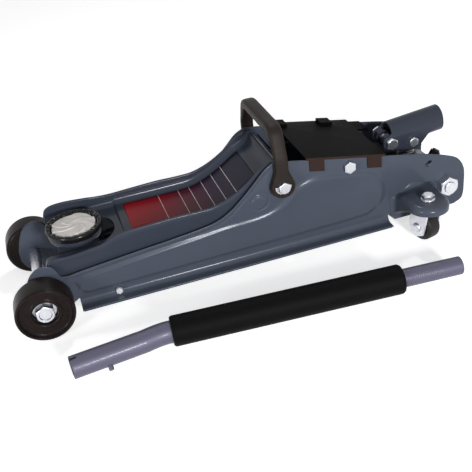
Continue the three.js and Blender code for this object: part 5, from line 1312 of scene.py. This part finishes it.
def cut_away(piece, low, high):
    """Takes a block, given by its two corners in millimetres, out of a piece."""
    corners = np.array(np.meshgrid(*zip(low, high), indexing="ij")).reshape(3, -1).T
    block = mesh_object("cutter", to_world(corners), [(0, 1, 3, 2), (4, 6, 7, 5), (0, 4, 5, 1),
                                                      (2, 3, 7, 6), (0, 2, 6, 4), (1, 5, 7, 3)])
    cut = piece.modifiers.new("notch", "BOOLEAN")
    cut.operation = "DIFFERENCE"
    cut.object = block
    worked = worked_out(piece)
    piece.modifiers.clear()
    piece.data = worked
    bpy.data.objects.remove(block)


cover = small["top_cover"]
cut_away(cover, *COVER_NOTCH)
cover.data.materials.append(TAB)
middle = np.zeros(len(cover.data.polygons) * 3)
cover.data.polygons.foreach_get("center", middle)
tabs = np.abs(middle.reshape(-1, 3)[:, 1] - FLOOR_BELOW_AXLE.y) > TAB_Y * MM
cover.data.polygons.foreach_set("material_index", tabs.astype(np.int32))
print("faces on the cover's tabs:", int(tabs.sum()))


# %% [markdown]
# ## Floor
# A wide plane in a pale grey-white, with a glow of its own that only cameras and mirrors see,
# so it fades into the white room and keeps a faint shadow. A shadow catcher would do this too,
# but it leaves nothing for the paint to reflect.

# %% Floor
FLOOR_HALF, FLOOR_GLOW = 3.0, 0.6


def pale_floor():
    """White where nothing shades it; the shadow comes from its diffuse part."""
    mesh = bpy.data.meshes.new("floor")
    half = FLOOR_HALF
    mesh.from_pydata([(-half, -half, 0), (half, -half, 0), (half, half, 0), (-half, half, 0)], [],
                     [(0, 1, 2, 3)])
    made = linked("floor", mesh)
    material = bpy.data.materials.new("floor_paper")
    material.use_nodes = True
    tree = material.node_tree
    shader = tree.nodes["Principled BSDF"]
    shader.inputs["Base Color"].default_value = (0.92, 0.92, 0.93, 1)
    shader.inputs["Roughness"].default_value = 0.9
    glow = tree.nodes.new("ShaderNodeEmission")
    glow.inputs["Strength"].default_value = FLOOR_GLOW
    both = tree.nodes.new("ShaderNodeAddShader")
    part = tree.nodes.new("ShaderNodeMixShader")
    tree.links.new(seen_directly(tree), part.inputs["Fac"])
    tree.links.new(shader.outputs["BSDF"], both.inputs[0])
    tree.links.new(glow.outputs["Emission"], both.inputs[1])
    tree.links.new(shader.outputs["BSDF"], part.inputs[1])
    tree.links.new(both.outputs[0], part.inputs[2])
    tree.links.new(part.outputs[0], tree.nodes["Material Output"].inputs["Surface"])
    made.data.materials.append(material)
    return made


floor = pale_floor()
print("floor", tuple(round(v, 2) for v in floor.dimensions))
